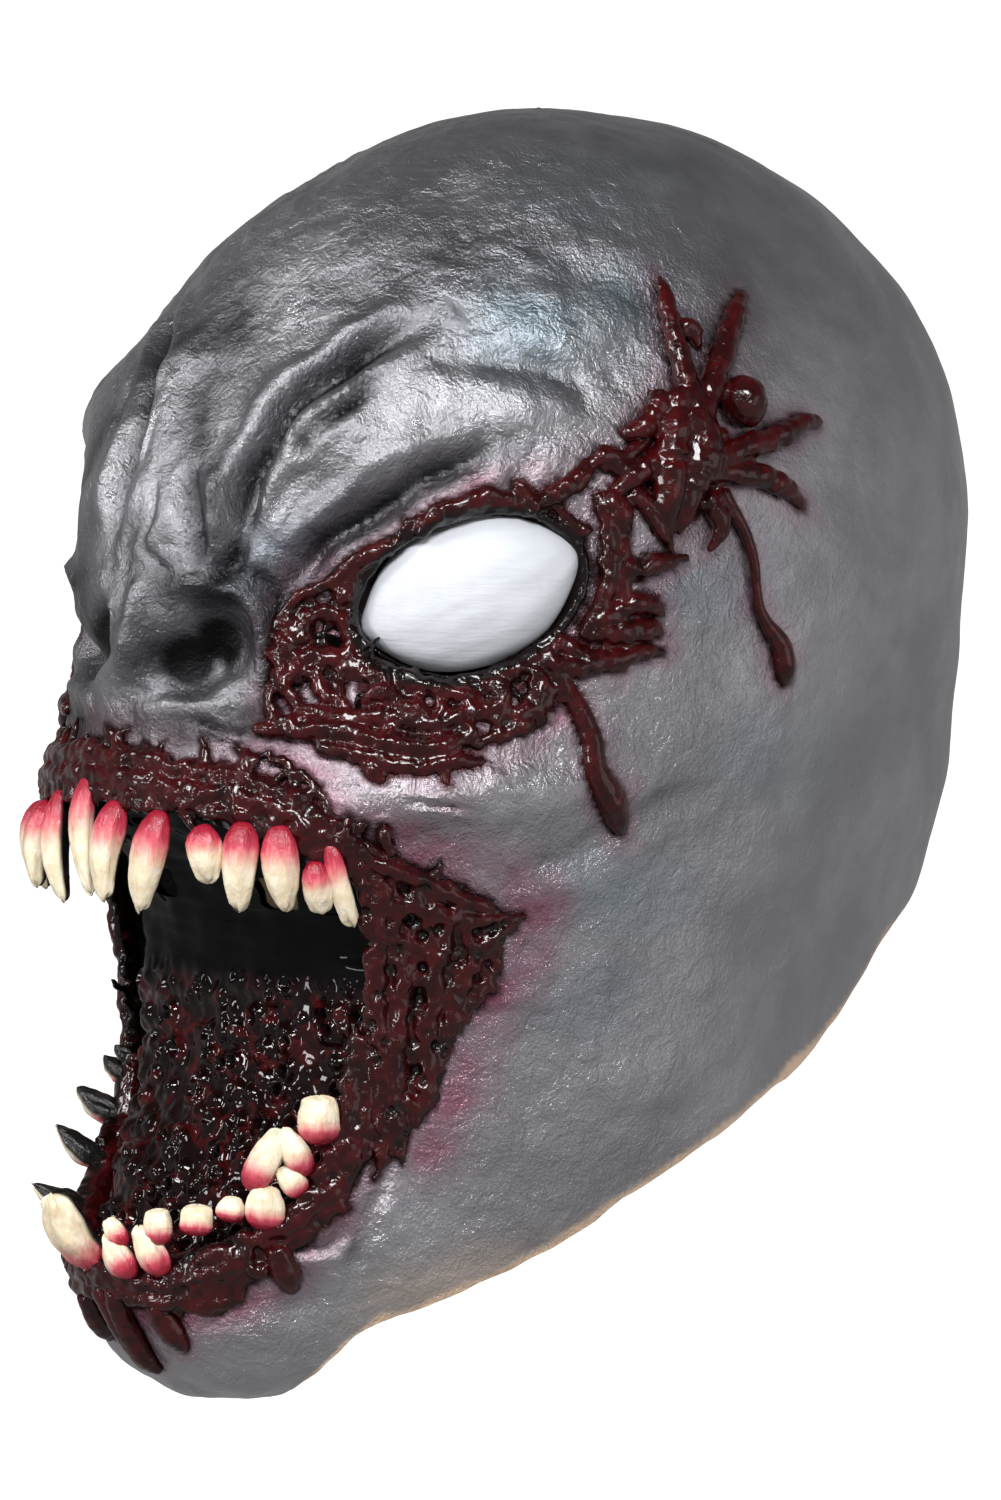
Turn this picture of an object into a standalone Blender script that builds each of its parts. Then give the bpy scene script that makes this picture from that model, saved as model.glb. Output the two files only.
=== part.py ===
"""Full-head latex monster mask: a hollow latex skin with two gums, loose teeth, a throat liner,
two white eye domes and built-up gore.

Run with: blender --background --python part.py
Metres, +Z up. The face looks along -Y and the wearer's left side is +X.
The origin is the middle of the wearer's head: between the ears, at the height of the ears.
"""

import math

import bmesh
import bpy
from mathutils import Matrix, Vector
from mathutils.bvhtree import BVHTree

# ---------------------------------------------------------------- driving dimensions

SKIN_THICKNESS = 0.003
GAP = 0.0004  # between a glued piece and what it is glued to
DRAPE_GAP = 0.0013  # under a piece that lies on the curved skin

CRANIUM_CENTRE_Y = -0.006
CRANIUM_DEPTH = 0.132  # half of it
CRANIUM_WIDTH = 0.098  # half of it
CRANIUM_HEIGHT = 0.117  # from the ears up
CHIN_Z = -0.239

# Sections of the skin below the ears: height, front, back, half width, where it is widest,
# and how square it is (2 is an ellipse).
FACE_SECTIONS = [
    (-0.030, -0.144, 0.1245, 0.0975, -0.008, 2.0),
    (-0.055, -0.156, 0.122, 0.095, -0.013, 2.1),
    (-0.080, -0.166, 0.119, 0.091, -0.018, 2.3),
    (-0.110, -0.165, 0.114, 0.086, -0.022, 1.95),
    (-0.140, -0.161, 0.108, 0.081, -0.026, 1.9),
    (-0.170, -0.162, 0.098, 0.075, -0.032, 2.1),
    (-0.198, -0.166, 0.080, 0.067, -0.045, 2.2),
    (-0.220, -0.161, 0.035, 0.055, -0.070, 2.1),
    (-0.233, -0.150, -0.040, 0.036, -0.100, 2.0),
    (CHIN_Z, -0.124, -0.124, 0.0, -0.124, 2.0),
]

# Swellings and hollows of the face: centre, radius along each axis, height. The ones off the
# middle stand on both sides.
SWELLINGS = [
    ((0.0, -0.145, 0.000), (0.018, 0.05, 0.026), 0.009),  # bridge of the nose
    ((0.0, -0.150, -0.026), (0.030, 0.05, 0.015), 0.007),  # nostril wings
    ((0.044, -0.118, 0.034), (0.024, 0.04, 0.016), 0.006),  # brow
    ((0.060, -0.110, -0.016), (0.026, 0.03, 0.020), -0.006),  # eye socket
    ((0.078, -0.085, -0.060), (0.030, 0.04, 0.018), 0.005),  # cheekbone
]


# ---------------------------------------------------------------- scene


def start():
    """Clears the scene and makes the collections for the parts and for the cutters."""
    for old in list(bpy.data.objects):
        bpy.data.objects.remove(old)
    made = []
    for name in ("latex_mask", "cutters"):
        collection = bpy.data.collections.new(name)
        bpy.context.scene.collection.children.link(collection)
        made.append(collection)
    return made


PARTS, CUTTERS = start()


def material(name, colour, roughness, metallic=0.0):
    made = bpy.data.materials.new(name)
    made.use_nodes = True
    shader = made.node_tree.nodes["Principled BSDF"]
    shader.inputs["Base Color"].default_value = (*colour, 1.0)
    shader.inputs["Roughness"].default_value = roughness
    shader.inputs["Metallic"].default_value = metallic
    return made


SILVER = material("silver_latex", (0.24, 0.26, 0.28), 0.4, 0.6)
GORE = material("gore", (0.09, 0.008, 0.010), 0.2)
BLACK = material("black_latex", (0.012, 0.012, 0.015), 0.3)
WHITE = material("eye_white", (0.80, 0.82, 0.86), 0.35)
IVORY = material("tooth_ivory", (0.78, 0.66, 0.45), 0.45)


def add(name, data, look, collection=PARTS):
    obj = bpy.data.objects.new(name, data)
    collection.objects.link(obj)
    data.materials.append(look)
    if collection is CUTTERS:
        obj.hide_render = True
        obj.display_type = "WIRE"
    return obj


def grid_mesh(name, rows, around=False):
    """A mesh through rows of points. With around, each row closes on itself."""
    columns = len(rows[0])
    points = [p for row in rows for p in row]
    faces = []
    for i in range(len(rows) - 1):
        for j in range(columns if around else columns - 1):
            k = (j + 1) % columns
            faces.append((i * columns + j, (i + 1) * columns + j, (i + 1) * columns + k, i * columns + k))
    mesh = bpy.data.meshes.new(name)
    mesh.from_pydata([tuple(p) for p in points], [], faces)
    return mesh


def shade_round(mesh):
    mesh.shade_smooth()
    mesh.set_sharp_from_angle(angle=math.radians(40))


def solidify(obj, thickness, offset):
    wall = obj.modifiers.new("wall", "SOLIDIFY")
    wall.thickness = thickness
    wall.offset = offset
    wall.use_even_offset = True
    return wall


def cut(obj, cutter, operation="DIFFERENCE"):
    boolean = obj.modifiers.new("cut_" + cutter.name, "BOOLEAN")
    boolean.object = cutter
    boolean.operation = operation
    boolean.solver = "EXACT"


def as_mesh(obj):
    """Turns a curve object, or one with modifiers, into a plain closed mesh object with its
    place worked into the mesh."""
    bpy.context.view_layer.update()
    graph = bpy.context.evaluated_depsgraph_get()
    mesh = bpy.data.meshes.new_from_object(obj.evaluated_get(graph))
    mesh.transform(obj.matrix_world)
    welded = bmesh.new()
    welded.from_mesh(mesh)
    bmesh.ops.remove_doubles(welded, verts=welded.verts, dist=0.00002)
    bmesh.ops.recalc_face_normals(welded, faces=welded.faces)
    welded.to_mesh(mesh)
    welded.free()
    name, look, collection = obj.name, obj.active_material, obj.users_collection[0]
    bpy.data.objects.remove(obj)
    mesh.materials.clear()
    made = add(name, mesh, look, collection)
    shade_round(mesh)
    return made


# ---------------------------------------------------------------- form of the head


def all_sections():
    """The sections from the crown to the chin: an ellipsoid above the ears, then the face."""
    found = []
    for degrees in (0, 18, 36, 54, 72, 90):
        out = math.sin(math.radians(degrees))
        z = CRANIUM_HEIGHT * math.cos(math.radians(degrees))
        front = CRANIUM_CENTRE_Y - CRANIUM_DEPTH * out
        back = CRANIUM_CENTRE_Y + CRANIUM_DEPTH * out
        found.append((z, front, back, CRANIUM_WIDTH * out, CRANIUM_CENTRE_Y, 2.0))
    return found + FACE_SECTIONS


SECTIONS = all_sections()
LAST = len(SECTIONS) - 1


def mirrored(section):
    """The section as it goes on past a pole, so that the form closes smoothly there."""
    z, front, back, width, widest, square = section
    return (z, back, front, -width, widest, square)


def section_at(s):
    """The section at s, from 0 at the crown to LAST at the chin, on a smooth curve."""
    i = min(int(s), LAST - 1)
    t = s - i
    before = SECTIONS[i - 1] if i > 0 else mirrored(SECTIONS[1])
    after = SECTIONS[i + 2] if i + 2 <= LAST else mirrored(SECTIONS[LAST - 1])
    found = []
    for a, b, c, d in zip(before, SECTIONS[i], SECTIONS[i + 1], after):
        found.append(
            b + 0.5 * t * (c - a + t * (2 * a - 5 * b + 4 * c - d + t * (3 * (b - c) + d - a)))
        )
    return found


def plain_point(s, angle):
    """A point of the head before its swellings. Angle 0 is the middle of the face, and 90
    degrees the wearer's left."""
    z, front, back, width, widest, square = section_at(s)
    sine, cosine = math.sin(angle), math.cos(angle)
    x = math.copysign(abs(sine) ** (2 / square), sine) * width
    reach = (front if cosine > 0 else back) - widest
    return Vector((x, widest + reach * abs(cosine) ** (2 / square), z))


def swelling(p):
    height = 0.0
    for centre, radius, h in SWELLINGS:
        for side in (-1, 1) if centre[0] else (1,):
            away = (
                ((p.x - side * centre[0]) / radius[0]) ** 2
                + ((p.y - centre[1]) / radius[1]) ** 2
                + ((p.z - centre[2]) / radius[2]) ** 2
            )
            height += h * math.exp(-away)
    return height


def head_point(s, angle):
    """A point on the outside of the skin."""
    step = 0.01
    p = plain_point(s, angle)
    along = plain_point(min(s + step, LAST), angle) - plain_point(max(s - step, 0), angle)
    across = plain_point(s, angle + step) - plain_point(s, angle - step)
    normal = along.cross(across).normalized()
    if normal.dot(p - Vector((0, CRANIUM_CENTRE_Y, p.z * 0.7))) < 0:
        normal.negate()
    return p + normal * swelling(p)


FRONT_BIAS = 0.45  # how much closer together the columns are on the face than at the back


def head_surface(rows, columns):
    """The outside of the whole head, closed at the crown and at the chin."""
    rings = []
    for i in range(1, rows):
        s = LAST * i / rows
        turns = [2 * math.pi * j / columns for j in range(columns)]
        rings.append([head_point(s, turn - FRONT_BIAS * math.sin(turn)) for turn in turns])
    mesh = grid_mesh("head_skin", rings, around=True)
    closed = bmesh.new()
    closed.from_mesh(mesh)
    crown = closed.verts.new(plain_point(0, 0))
    chin = closed.verts.new(plain_point(LAST, 0))
    closed.verts.ensure_lookup_table()
    last_ring = (rows - 2) * columns
    for j in range(columns):
        k = (j + 1) % columns
        closed.faces.new((crown, closed.verts[j], closed.verts[k]))
        closed.faces.new((chin, closed.verts[last_ring + k], closed.verts[last_ring + j]))
    bmesh.ops.recalc_face_normals(closed, faces=closed.faces)
    closed.to_mesh(mesh)
    closed.free()
    shade_round(mesh)
    return mesh


HEAD_ROWS, HEAD_COLUMNS = 34, 50
HEAD_MESH = head_surface(HEAD_ROWS, HEAD_COLUMNS)


def head_tree():
    read = bmesh.new()
    read.from_mesh(HEAD_MESH)
    tree = BVHTree.FromBMesh(read)
    read.free()
    return tree


HEAD_TREE = head_tree()

# The gore is laid out on a plane that faces three quarters to the left and is pressed on to the
# skin along that plane's normal. a runs backwards along the plane, z runs up.
SIDE_TURN = math.radians(52)
SIDE_OUT = Vector((math.sin(SIDE_TURN), -math.cos(SIDE_TURN), 0))
SIDE_ALONG = Vector((math.cos(SIDE_TURN), math.sin(SIDE_TURN), 0))


def mirror(p, side):
    return Vector((p.x * side, p.y, p.z))


def pressed(a, z, lift, side=1):
    """The point on the skin under (a, z) of the side plane, lifted off it by lift."""
    start_at = SIDE_ALONG * a + SIDE_OUT * 0.3 + Vector((0, 0, z))
    hit, normal, _, _ = HEAD_TREE.ray_cast(start_at, -SIDE_OUT)
    normal = (normal + SIDE_OUT * 0.3).normalized()
    return mirror(hit + normal * lift, side)


def outward(a, z):
    """Which way the skin faces under (a, z), smoothed over a few millimetres."""
    reach = 0.008
    along = pressed(a + reach, z, 0) - pressed(a - reach, z, 0)
    up = pressed(a, z + reach, 0) - pressed(a, z - reach, 0)
    return along.cross(up).normalized()


# ---------------------------------------------------------------- the skin and its openings


def flat_outline(name, points, depth, place, collection, look):
    """A filled flat outline, twice depth thick, from a smooth closed curve through points."""
    curve = bpy.data.curves.new(name, "CURVE")
    curve.dimensions = "2D"
    curve.fill_mode = "BOTH"
    curve.extrude = depth
    spline = curve.splines.new("POLY")
    spline.points.add(len(points) - 1)
    for point, (x, y) in zip(spline.points, points):
        point.co = (x, y, 0, 1)
    spline.use_cyclic_u = True
    obj = add(name, curve, look, collection)
    obj.matrix_world = place
    return as_mesh(obj)


def smooth_loop(points, steps):
    """A closed smooth curve through points, with steps points for each of them."""
    found = []
    count = len(points)
    for i in range(count):
        a, b, c, d = (points[(i + k) % count] for k in (-1, 0, 1, 2))
        for j in range(steps):
            t = j / steps
            found.append(
                tuple(
                    q + 0.5 * t * (r - p + t * (2 * p - 5 * q + 4 * r - w + t * (3 * (q - r) + w - p)))
                    for p, q, r, w in zip(a, b, c, d)
                )
            )
    return found


# The hem, seen from the side: it rises from under the chin to the nape.
HEM = [(0.20, -0.058), (0.12, -0.098), (0.06, -0.126), (0.0, -0.158), (-0.06, -0.192)]
HEM += [(-0.090, -0.209), (-0.104, -0.222), (-0.112, -0.236), (-0.114, -0.250)]
MOUTH_SIDE = [(0.0, -0.0585), (0.030, -0.0615), (0.055, -0.069), (0.066, -0.080)]
MOUTH_SIDE += [(0.0675, -0.098), (0.0660, -0.125), (0.0640, -0.148)]
MOUTH_SIDE += [(0.0590, -0.172), (0.0485, -0.191), (0.034, -0.203), (0.0, -0.2085)]
MOUTH_BACK_Y = -0.095

# Small slots to look through, in the gore between the nose and the eye: a, z, half width,
# half height, turn in degrees.
VISION_SLOTS = [
    (-0.0645, -0.0255, 0.0050, 0.0032, 10),
    (-0.0515, -0.0415, 0.0042, 0.0034, -10),
    (-0.0375, -0.0450, 0.0050, 0.0026, 5),
]

EYE_A, EYE_Z = -0.0241, -0.0119
EYE_TILT = math.radians(20)
EYE_HALF_LENGTH, EYE_HALF_HEIGHT, EYE_HALF_DEPTH = 0.0315, 0.0208, 0.0135
EYE_SINK = 0.0065  # its rim is this far under the highest point of the skin


def eye_place(side):
    """The frame of an eye: x towards its outer corner, z out of the head."""
    out = outward(EYE_A, EYE_Z)
    level = Vector((0, 0, 1)).cross(out).normalized()
    up = out.cross(level)
    long_way = level * math.cos(EYE_TILT) + up * math.sin(EYE_TILT)
    high_way = out.cross(long_way)
    centre = pressed(EYE_A, EYE_Z, 0) - out * EYE_SINK
    place = Matrix((long_way, high_way, out)).transposed().to_4x4()
    place.translation = centre
    return Matrix.Diagonal((side, 1, 1, 1)) @ place


def ellipse(half_x, half_y, count):
    turns = [2 * math.pi * i / count for i in range(count)]
    return [(half_x * math.cos(t), half_y * math.sin(t)) for t in turns]


def neck_cutter():
    side_on = Matrix(((0, 0, 1, 0), (1, 0, 0, 0), (0, 1, 0, 0), (0, 0, 0, 1)))
    outline = HEM + [(-0.114, -0.30), (0.20, -0.30)]
    return flat_outline("neck_cutter", outline, 0.15, side_on, CUTTERS, BLACK)


def mouth_cutter():
    loop = MOUTH_SIDE + [(-x, z) for x, z in reversed(MOUTH_SIDE[1:-1])]
    depth = 0.08
    from_front = Matrix(
        ((1, 0, 0, 0), (0, 0, -1, MOUTH_BACK_Y - depth), (0, 1, 0, 0), (0, 0, 0, 1))
    )
    return flat_outline("mouth_cutter", smooth_loop(loop, 3), depth, from_front, CUTTERS, BLACK)


def eye_cutter(name, side):
    place = eye_place(side)
    outline = ellipse(EYE_HALF_LENGTH + GAP, EYE_HALF_HEIGHT + GAP, 32)
    return flat_outline(name, outline, 0.03, place, CUTTERS, BLACK)


def slot_cutter(name, slot, side):
    a, z, half_x, half_y, turn = slot
    out = outward(a, z)
    level = Vector((0, 0, 1)).cross(out).normalized()
    place = Matrix((level, out.cross(level), out)).transposed().to_4x4()
    place.translation = pressed(a, z, 0)
    place = Matrix.Diagonal((side, 1, 1, 1)) @ place @ Matrix.Rotation(math.radians(turn), 4, "Z")
    return flat_outline(name, ellipse(half_x, half_y, 10), 0.012, place, CUTTERS, BLACK)


def slot_cutters():
    found = {}
    for side, word in ((1, "left"), (-1, "right")):
        found[side] = [
            slot_cutter(f"slot_cutter_{word}_{i + 1}", slot, side)
            for i, slot in enumerate(VISION_SLOTS)
        ]
    return found


SLOTS = slot_cutters()


def latex_skin():
    skin = add("latex_skin", HEAD_MESH, SILVER)
    solidify(skin, SKIN_THICKNESS, -1)
    cut(skin, neck_cutter())
    cut(skin, mouth_cutter())
    for side, word in ((1, "left"), (-1, "right")):
        cut(skin, eye_cutter(f"eye_cutter_{word}", side))
        for cutter in SLOTS[side]:
            cut(skin, cutter)
    return skin


# ---------------------------------------------------------------- gums and teeth

GUM_INSET = 0.002  # of a gum's middle line inside the skin's outside
UPPER_GUM = [(0.0, -0.0660), (0.015, -0.0665), (0.030, -0.0690), (0.042, -0.0725)]
UPPER_GUM += [(0.052, -0.0770), (0.059, -0.0825), (0.0625, -0.0880)]
LOWER_GUM = [(0.0, -0.2015), (0.012, -0.2005), (0.024, -0.1985), (0.034, -0.1945)]
LOWER_GUM += [(0.041, -0.1890), (0.0462, -0.1820), (0.0522, -0.1710), (0.0565, -0.1500)]
UPPER_GUM_RADIUS, LOWER_GUM_RADIUS = 0.0066, 0.0060

# Teeth: how far from the middle, length, greatest radius, lean outwards (length per length).
UPPER_LEFT = [
    (0.0072, 0.029, 0.0058, 0.10),
    (0.0220, 0.030, 0.0056, 0.02),
    (0.0355, 0.019, 0.0048, 0.06),
    (0.0460, 0.026, 0.0048, 0.05),
    (0.0538, 0.022, 0.0040, 0.10),
    (0.0592, 0.015, 0.0030, 0.08),
    (0.0622, 0.018, 0.0022, 0.12),
]
UPPER_RIGHT = [
    (0.0072, 0.032, 0.0056, 0.05),
    (0.0220, 0.029, 0.0052, 0.12),
    (0.0355, 0.025, 0.0048, 0.15),
    (0.0460, 0.022, 0.0046, 0.05),
    (0.0538, 0.024, 0.0040, 0.08),
    (0.0592, 0.017, 0.0030, 0.08),
    (0.0622, 0.014, 0.0022, 0.10),
]
LOWER_LEFT = [
    (0.0070, 0.014, 0.0046, 0.45),
    (0.0165, 0.012, 0.0038, 0.15),
    (0.0245, 0.014, 0.0036, 0.10),
    (0.0325, 0.010, 0.0036, 0.05),
    (0.0395, 0.011, 0.0034, 0.05),
    (0.0450, 0.015, 0.0036, 0.30),
    (0.0495, 0.019, 0.0034, 0.15),
    (0.0530, 0.013, 0.0032, 0.20),
    (0.0555, 0.012, 0.0036, 0.10),
]
LOWER_RIGHT = [
    (0.0070, 0.026, 0.0062, 0.40),
    (0.0190, 0.012, 0.0042, 0.20),
    (0.0285, 0.018, 0.0042, 0.50),
    (0.0375, 0.020, 0.0042, 0.45),
    (0.0445, 0.021, 0.0040, 0.50),
    (0.0500, 0.018, 0.0034, 0.45),
    (0.0535, 0.014, 0.0030, 0.40),
    (0.0560, 0.010, 0.0026, 0.35),
]
# Share of the length from the root, and of the greatest radius.
TOOTH_PROFILE = [(-0.10, 0.70), (0.0, 0.86), (0.22, 1.0), (0.5, 0.88), (0.75, 0.58)]
TOOTH_PROFILE += [(0.92, 0.30), (1.0, 0.10)]


def level_at(z):
    """s where the face's section is at height z."""
    low, high = 0.0, float(LAST)
    for _ in range(40):
        middle = (low + high) / 2
        if section_at(middle)[0] > z:
            low = middle
        else:
            high = middle
    return low


def face_front(x, z):
    """How far forward the head is at (x, z), seen from the front."""
    _, front, _, width, widest, square = section_at(level_at(z))
    return widest + (front - widest) * (1 - abs(x / width) ** square) ** (1 / square)


def smooth_line(points, steps):
    """A smooth open curve through points."""
    first = [2 * p - q for p, q in zip(points[0], points[1])]
    last = [2 * p - q for p, q in zip(points[-1], points[-2])]
    ringed = [first, *points, last]
    found = []
    for i in range(1, len(ringed) - 2):
        a, b, c, d = ringed[i - 1 : i + 3]
        for j in range(steps):
            t = j / steps
            found.append(
                [
                    q + 0.5 * t * (r - p + t * (2 * p - 5 * q + 4 * r - w + t * (3 * (q - r) + w - p)))
                    for p, q, r, w in zip(a, b, c, d)
                ]
            )
    return found + [list(points[-1])]


def gum_height(gum, x):
    for (x0, z0), (x1, z1) in zip(gum, gum[1:]):
        if x <= x1:
            return z0 + (z1 - z0) * (x - x0) / (x1 - x0)
    return gum[-1][1]


def tube(name, points, radii, depth, look, collection=PARTS, resolution=2):
    """A round tube of radius depth times radii along points."""
    curve = bpy.data.curves.new(name, "CURVE")
    curve.dimensions = "3D"
    curve.bevel_depth = depth
    curve.bevel_resolution = resolution
    curve.use_fill_caps = True
    spline = curve.splines.new("POLY")
    spline.points.add(len(points) - 1)
    for point, place, radius in zip(spline.points, points, radii):
        point.co = (*place, 1)
        point.radius = radius
    return add(name, curve, look, collection)


def gum(name, line, radius):
    half = smooth_line(line, 4)
    whole = [(-x, z) for x, z in reversed(half[1:])] + [tuple(p) for p in half]
    points = [Vector((x, face_front(x, z) + GUM_INSET, z)) for x, z in whole]
    ends = [min(1.0, 0.62 + 0.13 * min(i, len(points) - 1 - i)) for i in range(len(points))]
    return as_mesh(tube(name, points, ends, radius, GORE, resolution=3))


def tooth_line(gum_line, tooth, side, down):
    """The middle line of a tooth, bent a little back towards the mouth at its tip."""
    x, length, _, lean = tooth
    z = gum_height(gum_line, x)
    root = Vector((x, face_front(x, z) + GUM_INSET, z - down * 0.0012))
    step = 0.001
    fall = (gum_height(gum_line, x + step) - gum_height(gum_line, x - step)) / (2 * step)
    across = Vector((down * fall, 0, -down)).normalized()
    way = (across + Vector((0, 0, -down))).normalized()
    out = Vector((x, face_front(x, z) + 0.06, 0)).normalized()
    points = []
    for share, _ in TOOTH_PROFILE:
        along = share * length
        points.append(root + way * along + out * lean * along * (1 - 0.25 * share))
    return [mirror(p, side) for p in points]


def tooth_solid(name, line, radius, collection=PARTS, extra=0.0):
    radii = [share * radius + extra for _, share in TOOTH_PROFILE]
    return as_mesh(tube(name, line, radii, 1.0, IVORY, collection))


def row_of_teeth(word, gum_obj, gum_line, left, right, down):
    for side, label, teeth in ((1, "left", left), (-1, "right", right)):
        for i, tooth in enumerate(teeth):
            line = tooth_line(gum_line, tooth, side, down)
            tooth_solid(f"{word}_tooth_{label}_{i + 1}", line, tooth[2])
            deep = line[0] + (line[0] - line[1]).normalized() * GAP * 1.5
            name = f"{word}_socket_{label}_{i + 1}"
            cut(gum_obj, tooth_solid(name, [deep, *line[1:5]], tooth[2], CUTTERS, extra=GAP))


# ---------------------------------------------------------------- throat liner

# Rows of the liner from the palate down to the tongue's tip: height, its middle, half width, and
# how far its edge is behind the front of the skin there.
LINER_ROWS = [
    (-0.0640, -0.1490, 0.0500, 0.0115),
    (-0.0750, -0.1350, 0.0585, 0.0115),
    (-0.0880, -0.1250, 0.0640, 0.0090),
    (-0.1050, -0.1170, 0.0655, 0.0065),
    (-0.1250, -0.1140, 0.0640, 0.0070),
    (-0.1450, -0.1150, 0.0605, 0.0110),
    (-0.1600, -0.1220, 0.0575, 0.0130),
    (-0.1750, -0.1330, 0.0525, 0.0130),
    (-0.1870, -0.1440, 0.0450, 0.0125),
    (-0.1960, -0.1510, 0.0320, 0.0120),
]
LINER_THICKNESS = 0.0025
VENT_X, VENT_Z, VENT_HALF_WIDTH, VENT_HALF_HEIGHT = 0.026, -0.0965, 0.0075, 0.0045


def throat_liner():
    columns = 16
    rows = []
    for z, middle, half, behind in smooth_line(LINER_ROWS, 2):
        edge = face_front(half, z) + behind
        row = []
        for j in range(columns + 1):
            share = 2 * j / columns - 1
            row.append((share * half, middle + (edge - middle) * share**2, z))
        rows.append(row)
    sheet = grid_mesh("throat_liner", rows)
    shade_round(sheet)
    liner = add("throat_liner", sheet, BLACK)
    solidify(liner, LINER_THICKNESS, -1)
    for side, word in ((1, "left"), (-1, "right")):
        from_front = Matrix(
            ((1, 0, 0, side * VENT_X), (0, 0, -1, -0.115), (0, 1, 0, VENT_Z), (0, 0, 0, 1))
        )
        outline = ellipse(VENT_HALF_WIDTH, VENT_HALF_HEIGHT, 12)
        cut(liner, flat_outline(f"vent_cutter_{word}", outline, 0.02, from_front, CUTTERS, BLACK))
    return liner


# ---------------------------------------------------------------- eyes

EYE_WALL = 0.002


def eye_dome(name, side):
    """A thin oval cap: the front of an ellipsoid, open at the back."""
    cap = bmesh.new()
    bmesh.ops.create_uvsphere(cap, u_segments=24, v_segments=12, radius=1.0)
    whole = cap.verts[:] + cap.edges[:] + cap.faces[:]
    rim, behind = (0, 0, -0.02), (0, 0, -1)
    bmesh.ops.bisect_plane(cap, geom=whole, plane_co=rim, plane_no=behind, clear_outer=True)
    scale = Matrix.Diagonal((EYE_HALF_LENGTH, EYE_HALF_HEIGHT, EYE_HALF_DEPTH, 1))
    bmesh.ops.transform(cap, matrix=eye_place(side) @ scale, verts=cap.verts)
    bmesh.ops.recalc_face_normals(cap, faces=cap.faces)
    mesh = bpy.data.meshes.new(name)
    cap.to_mesh(mesh)
    cap.free()
    obj = add(name, mesh, WHITE)
    solidify(obj, EYE_WALL, -1)
    shade_round(mesh)
    return obj


# ---------------------------------------------------------------- gore

# Reach of the gore round the left eye, every 15 degrees from straight back, anticlockwise
# (towards the brow first).
EYE_GORE = [46, 41, 50, 44, 38, 31, 27, 28, 31, 34, 38, 44, 52, 58, 62, 60, 52, 45, 44, 42, 50, 46]
EYE_GORE += [53, 42]
# Reach of the torn wound on the left temple, every 12 degrees.
TEMPLE_WOUND = [34, 20, 17, 22, 30, 40, 44, 24, 20, 42, 44, 20, 16, 17, 18]
TEMPLE_WOUND += [22, 24, 22, 20, 24, 26, 24, 20, 24, 20, 15, 18, 24, 32, 36]
WOUND_A, WOUND_Z = 0.0385, 0.0330
GORE_WALL, WOUND_WALL, CHEEK_WALL = 0.003, 0.0032, 0.0035

# The torn cheek beside the mouth: z, and where it begins and ends along the side plane.
CHEEK_GORE = [
    (-0.0820, -0.0465, -0.0390),
    (-0.0900, -0.0470, -0.0240),
    (-0.1000, -0.0480, -0.0100),
    (-0.1120, -0.0485, -0.0140),
    (-0.1260, -0.0485, -0.0220),
    (-0.1420, -0.0490, -0.0290),
    (-0.1560, -0.0490, -0.0340),
    (-0.1680, -0.0460, -0.0385),
]

# Runs of set drips: points (a, z) along the side plane, and the radius.
DRIPS = {
    "temple_drip": ([(0.0515, 0.0075), (0.0545, -0.0060), (0.0580, -0.0200), (0.0620, -0.0340)], 0.0022),
    "eye_drip": ([(0.0105, -0.0600), (0.0130, -0.0670), (0.0155, -0.0760)], 0.0034),
    "chin_drip_front": ([(-0.1175, -0.2130), (-0.1165, -0.2200), (-0.1140, -0.2270)], 0.0026),
    "chin_drip_middle": ([(-0.1060, -0.2110), (-0.1035, -0.2160), (-0.1010, -0.2205)], 0.0030),
    "chin_drip_side": ([(-0.0790, -0.1960), (-0.0765, -0.2020), (-0.0755, -0.2070)], 0.0026),
}


def round_patch(name, centre, inner, reach, wall, side, rings=4):
    """A patch of gore pressed on the skin: a ring from inner to reach, or a disc."""
    count = len(reach)
    rows = []
    for i in range(0 if inner else 1, rings + 1):
        row = []
        for j, far in enumerate(reach):
            turn = 2 * math.pi * j / count
            near = inner(turn) if inner else 0.0
            distance = near + (far / 1000 - near) * i / rings
            row.append(
                pressed(
                    centre[0] + distance * math.cos(turn),
                    centre[1] + distance * math.sin(turn),
                    DRAPE_GAP,
                    side,
                )
            )
        rows.append(row)
    mesh = grid_mesh(name, rows, around=True)
    patch = bmesh.new()
    patch.from_mesh(mesh)
    if not inner:
        middle = patch.verts.new(pressed(*centre, DRAPE_GAP, side))
        patch.verts.ensure_lookup_table()
        for j in range(count):
            patch.faces.new((middle, patch.verts[j], patch.verts[(j + 1) % count]))
    bmesh.ops.recalc_face_normals(patch, faces=patch.faces)
    face_outwards(patch, side)
    patch.to_mesh(mesh)
    patch.free()
    obj = add(name, mesh, GORE)
    solidify(obj, wall, 1)
    return obj


def face_outwards(patch, side):
    """Turns an open patch round if it faces the head."""
    total = Vector()
    for face in patch.faces:
        face.normal_update()
        total += face.normal * face.calc_area()
    if total.dot(mirror(SIDE_OUT, side)) < 0:
        bmesh.ops.reverse_faces(patch, faces=patch.faces)


def eye_gore(name, side):
    tilt, margin = EYE_TILT, 0.0022

    def rim(turn):
        """The eye's own outline, with a margin, seen along the side plane."""
        x = math.cos(turn - tilt) / (EYE_HALF_LENGTH + margin)
        y = math.sin(turn - tilt) / (EYE_HALF_HEIGHT + margin)
        return 1 / math.hypot(x, y)

    patch = round_patch(name, (EYE_A, EYE_Z), rim, EYE_GORE, GORE_WALL, side)
    for cutter in SLOTS[side]:
        cut(patch, cutter)
    return patch


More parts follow.
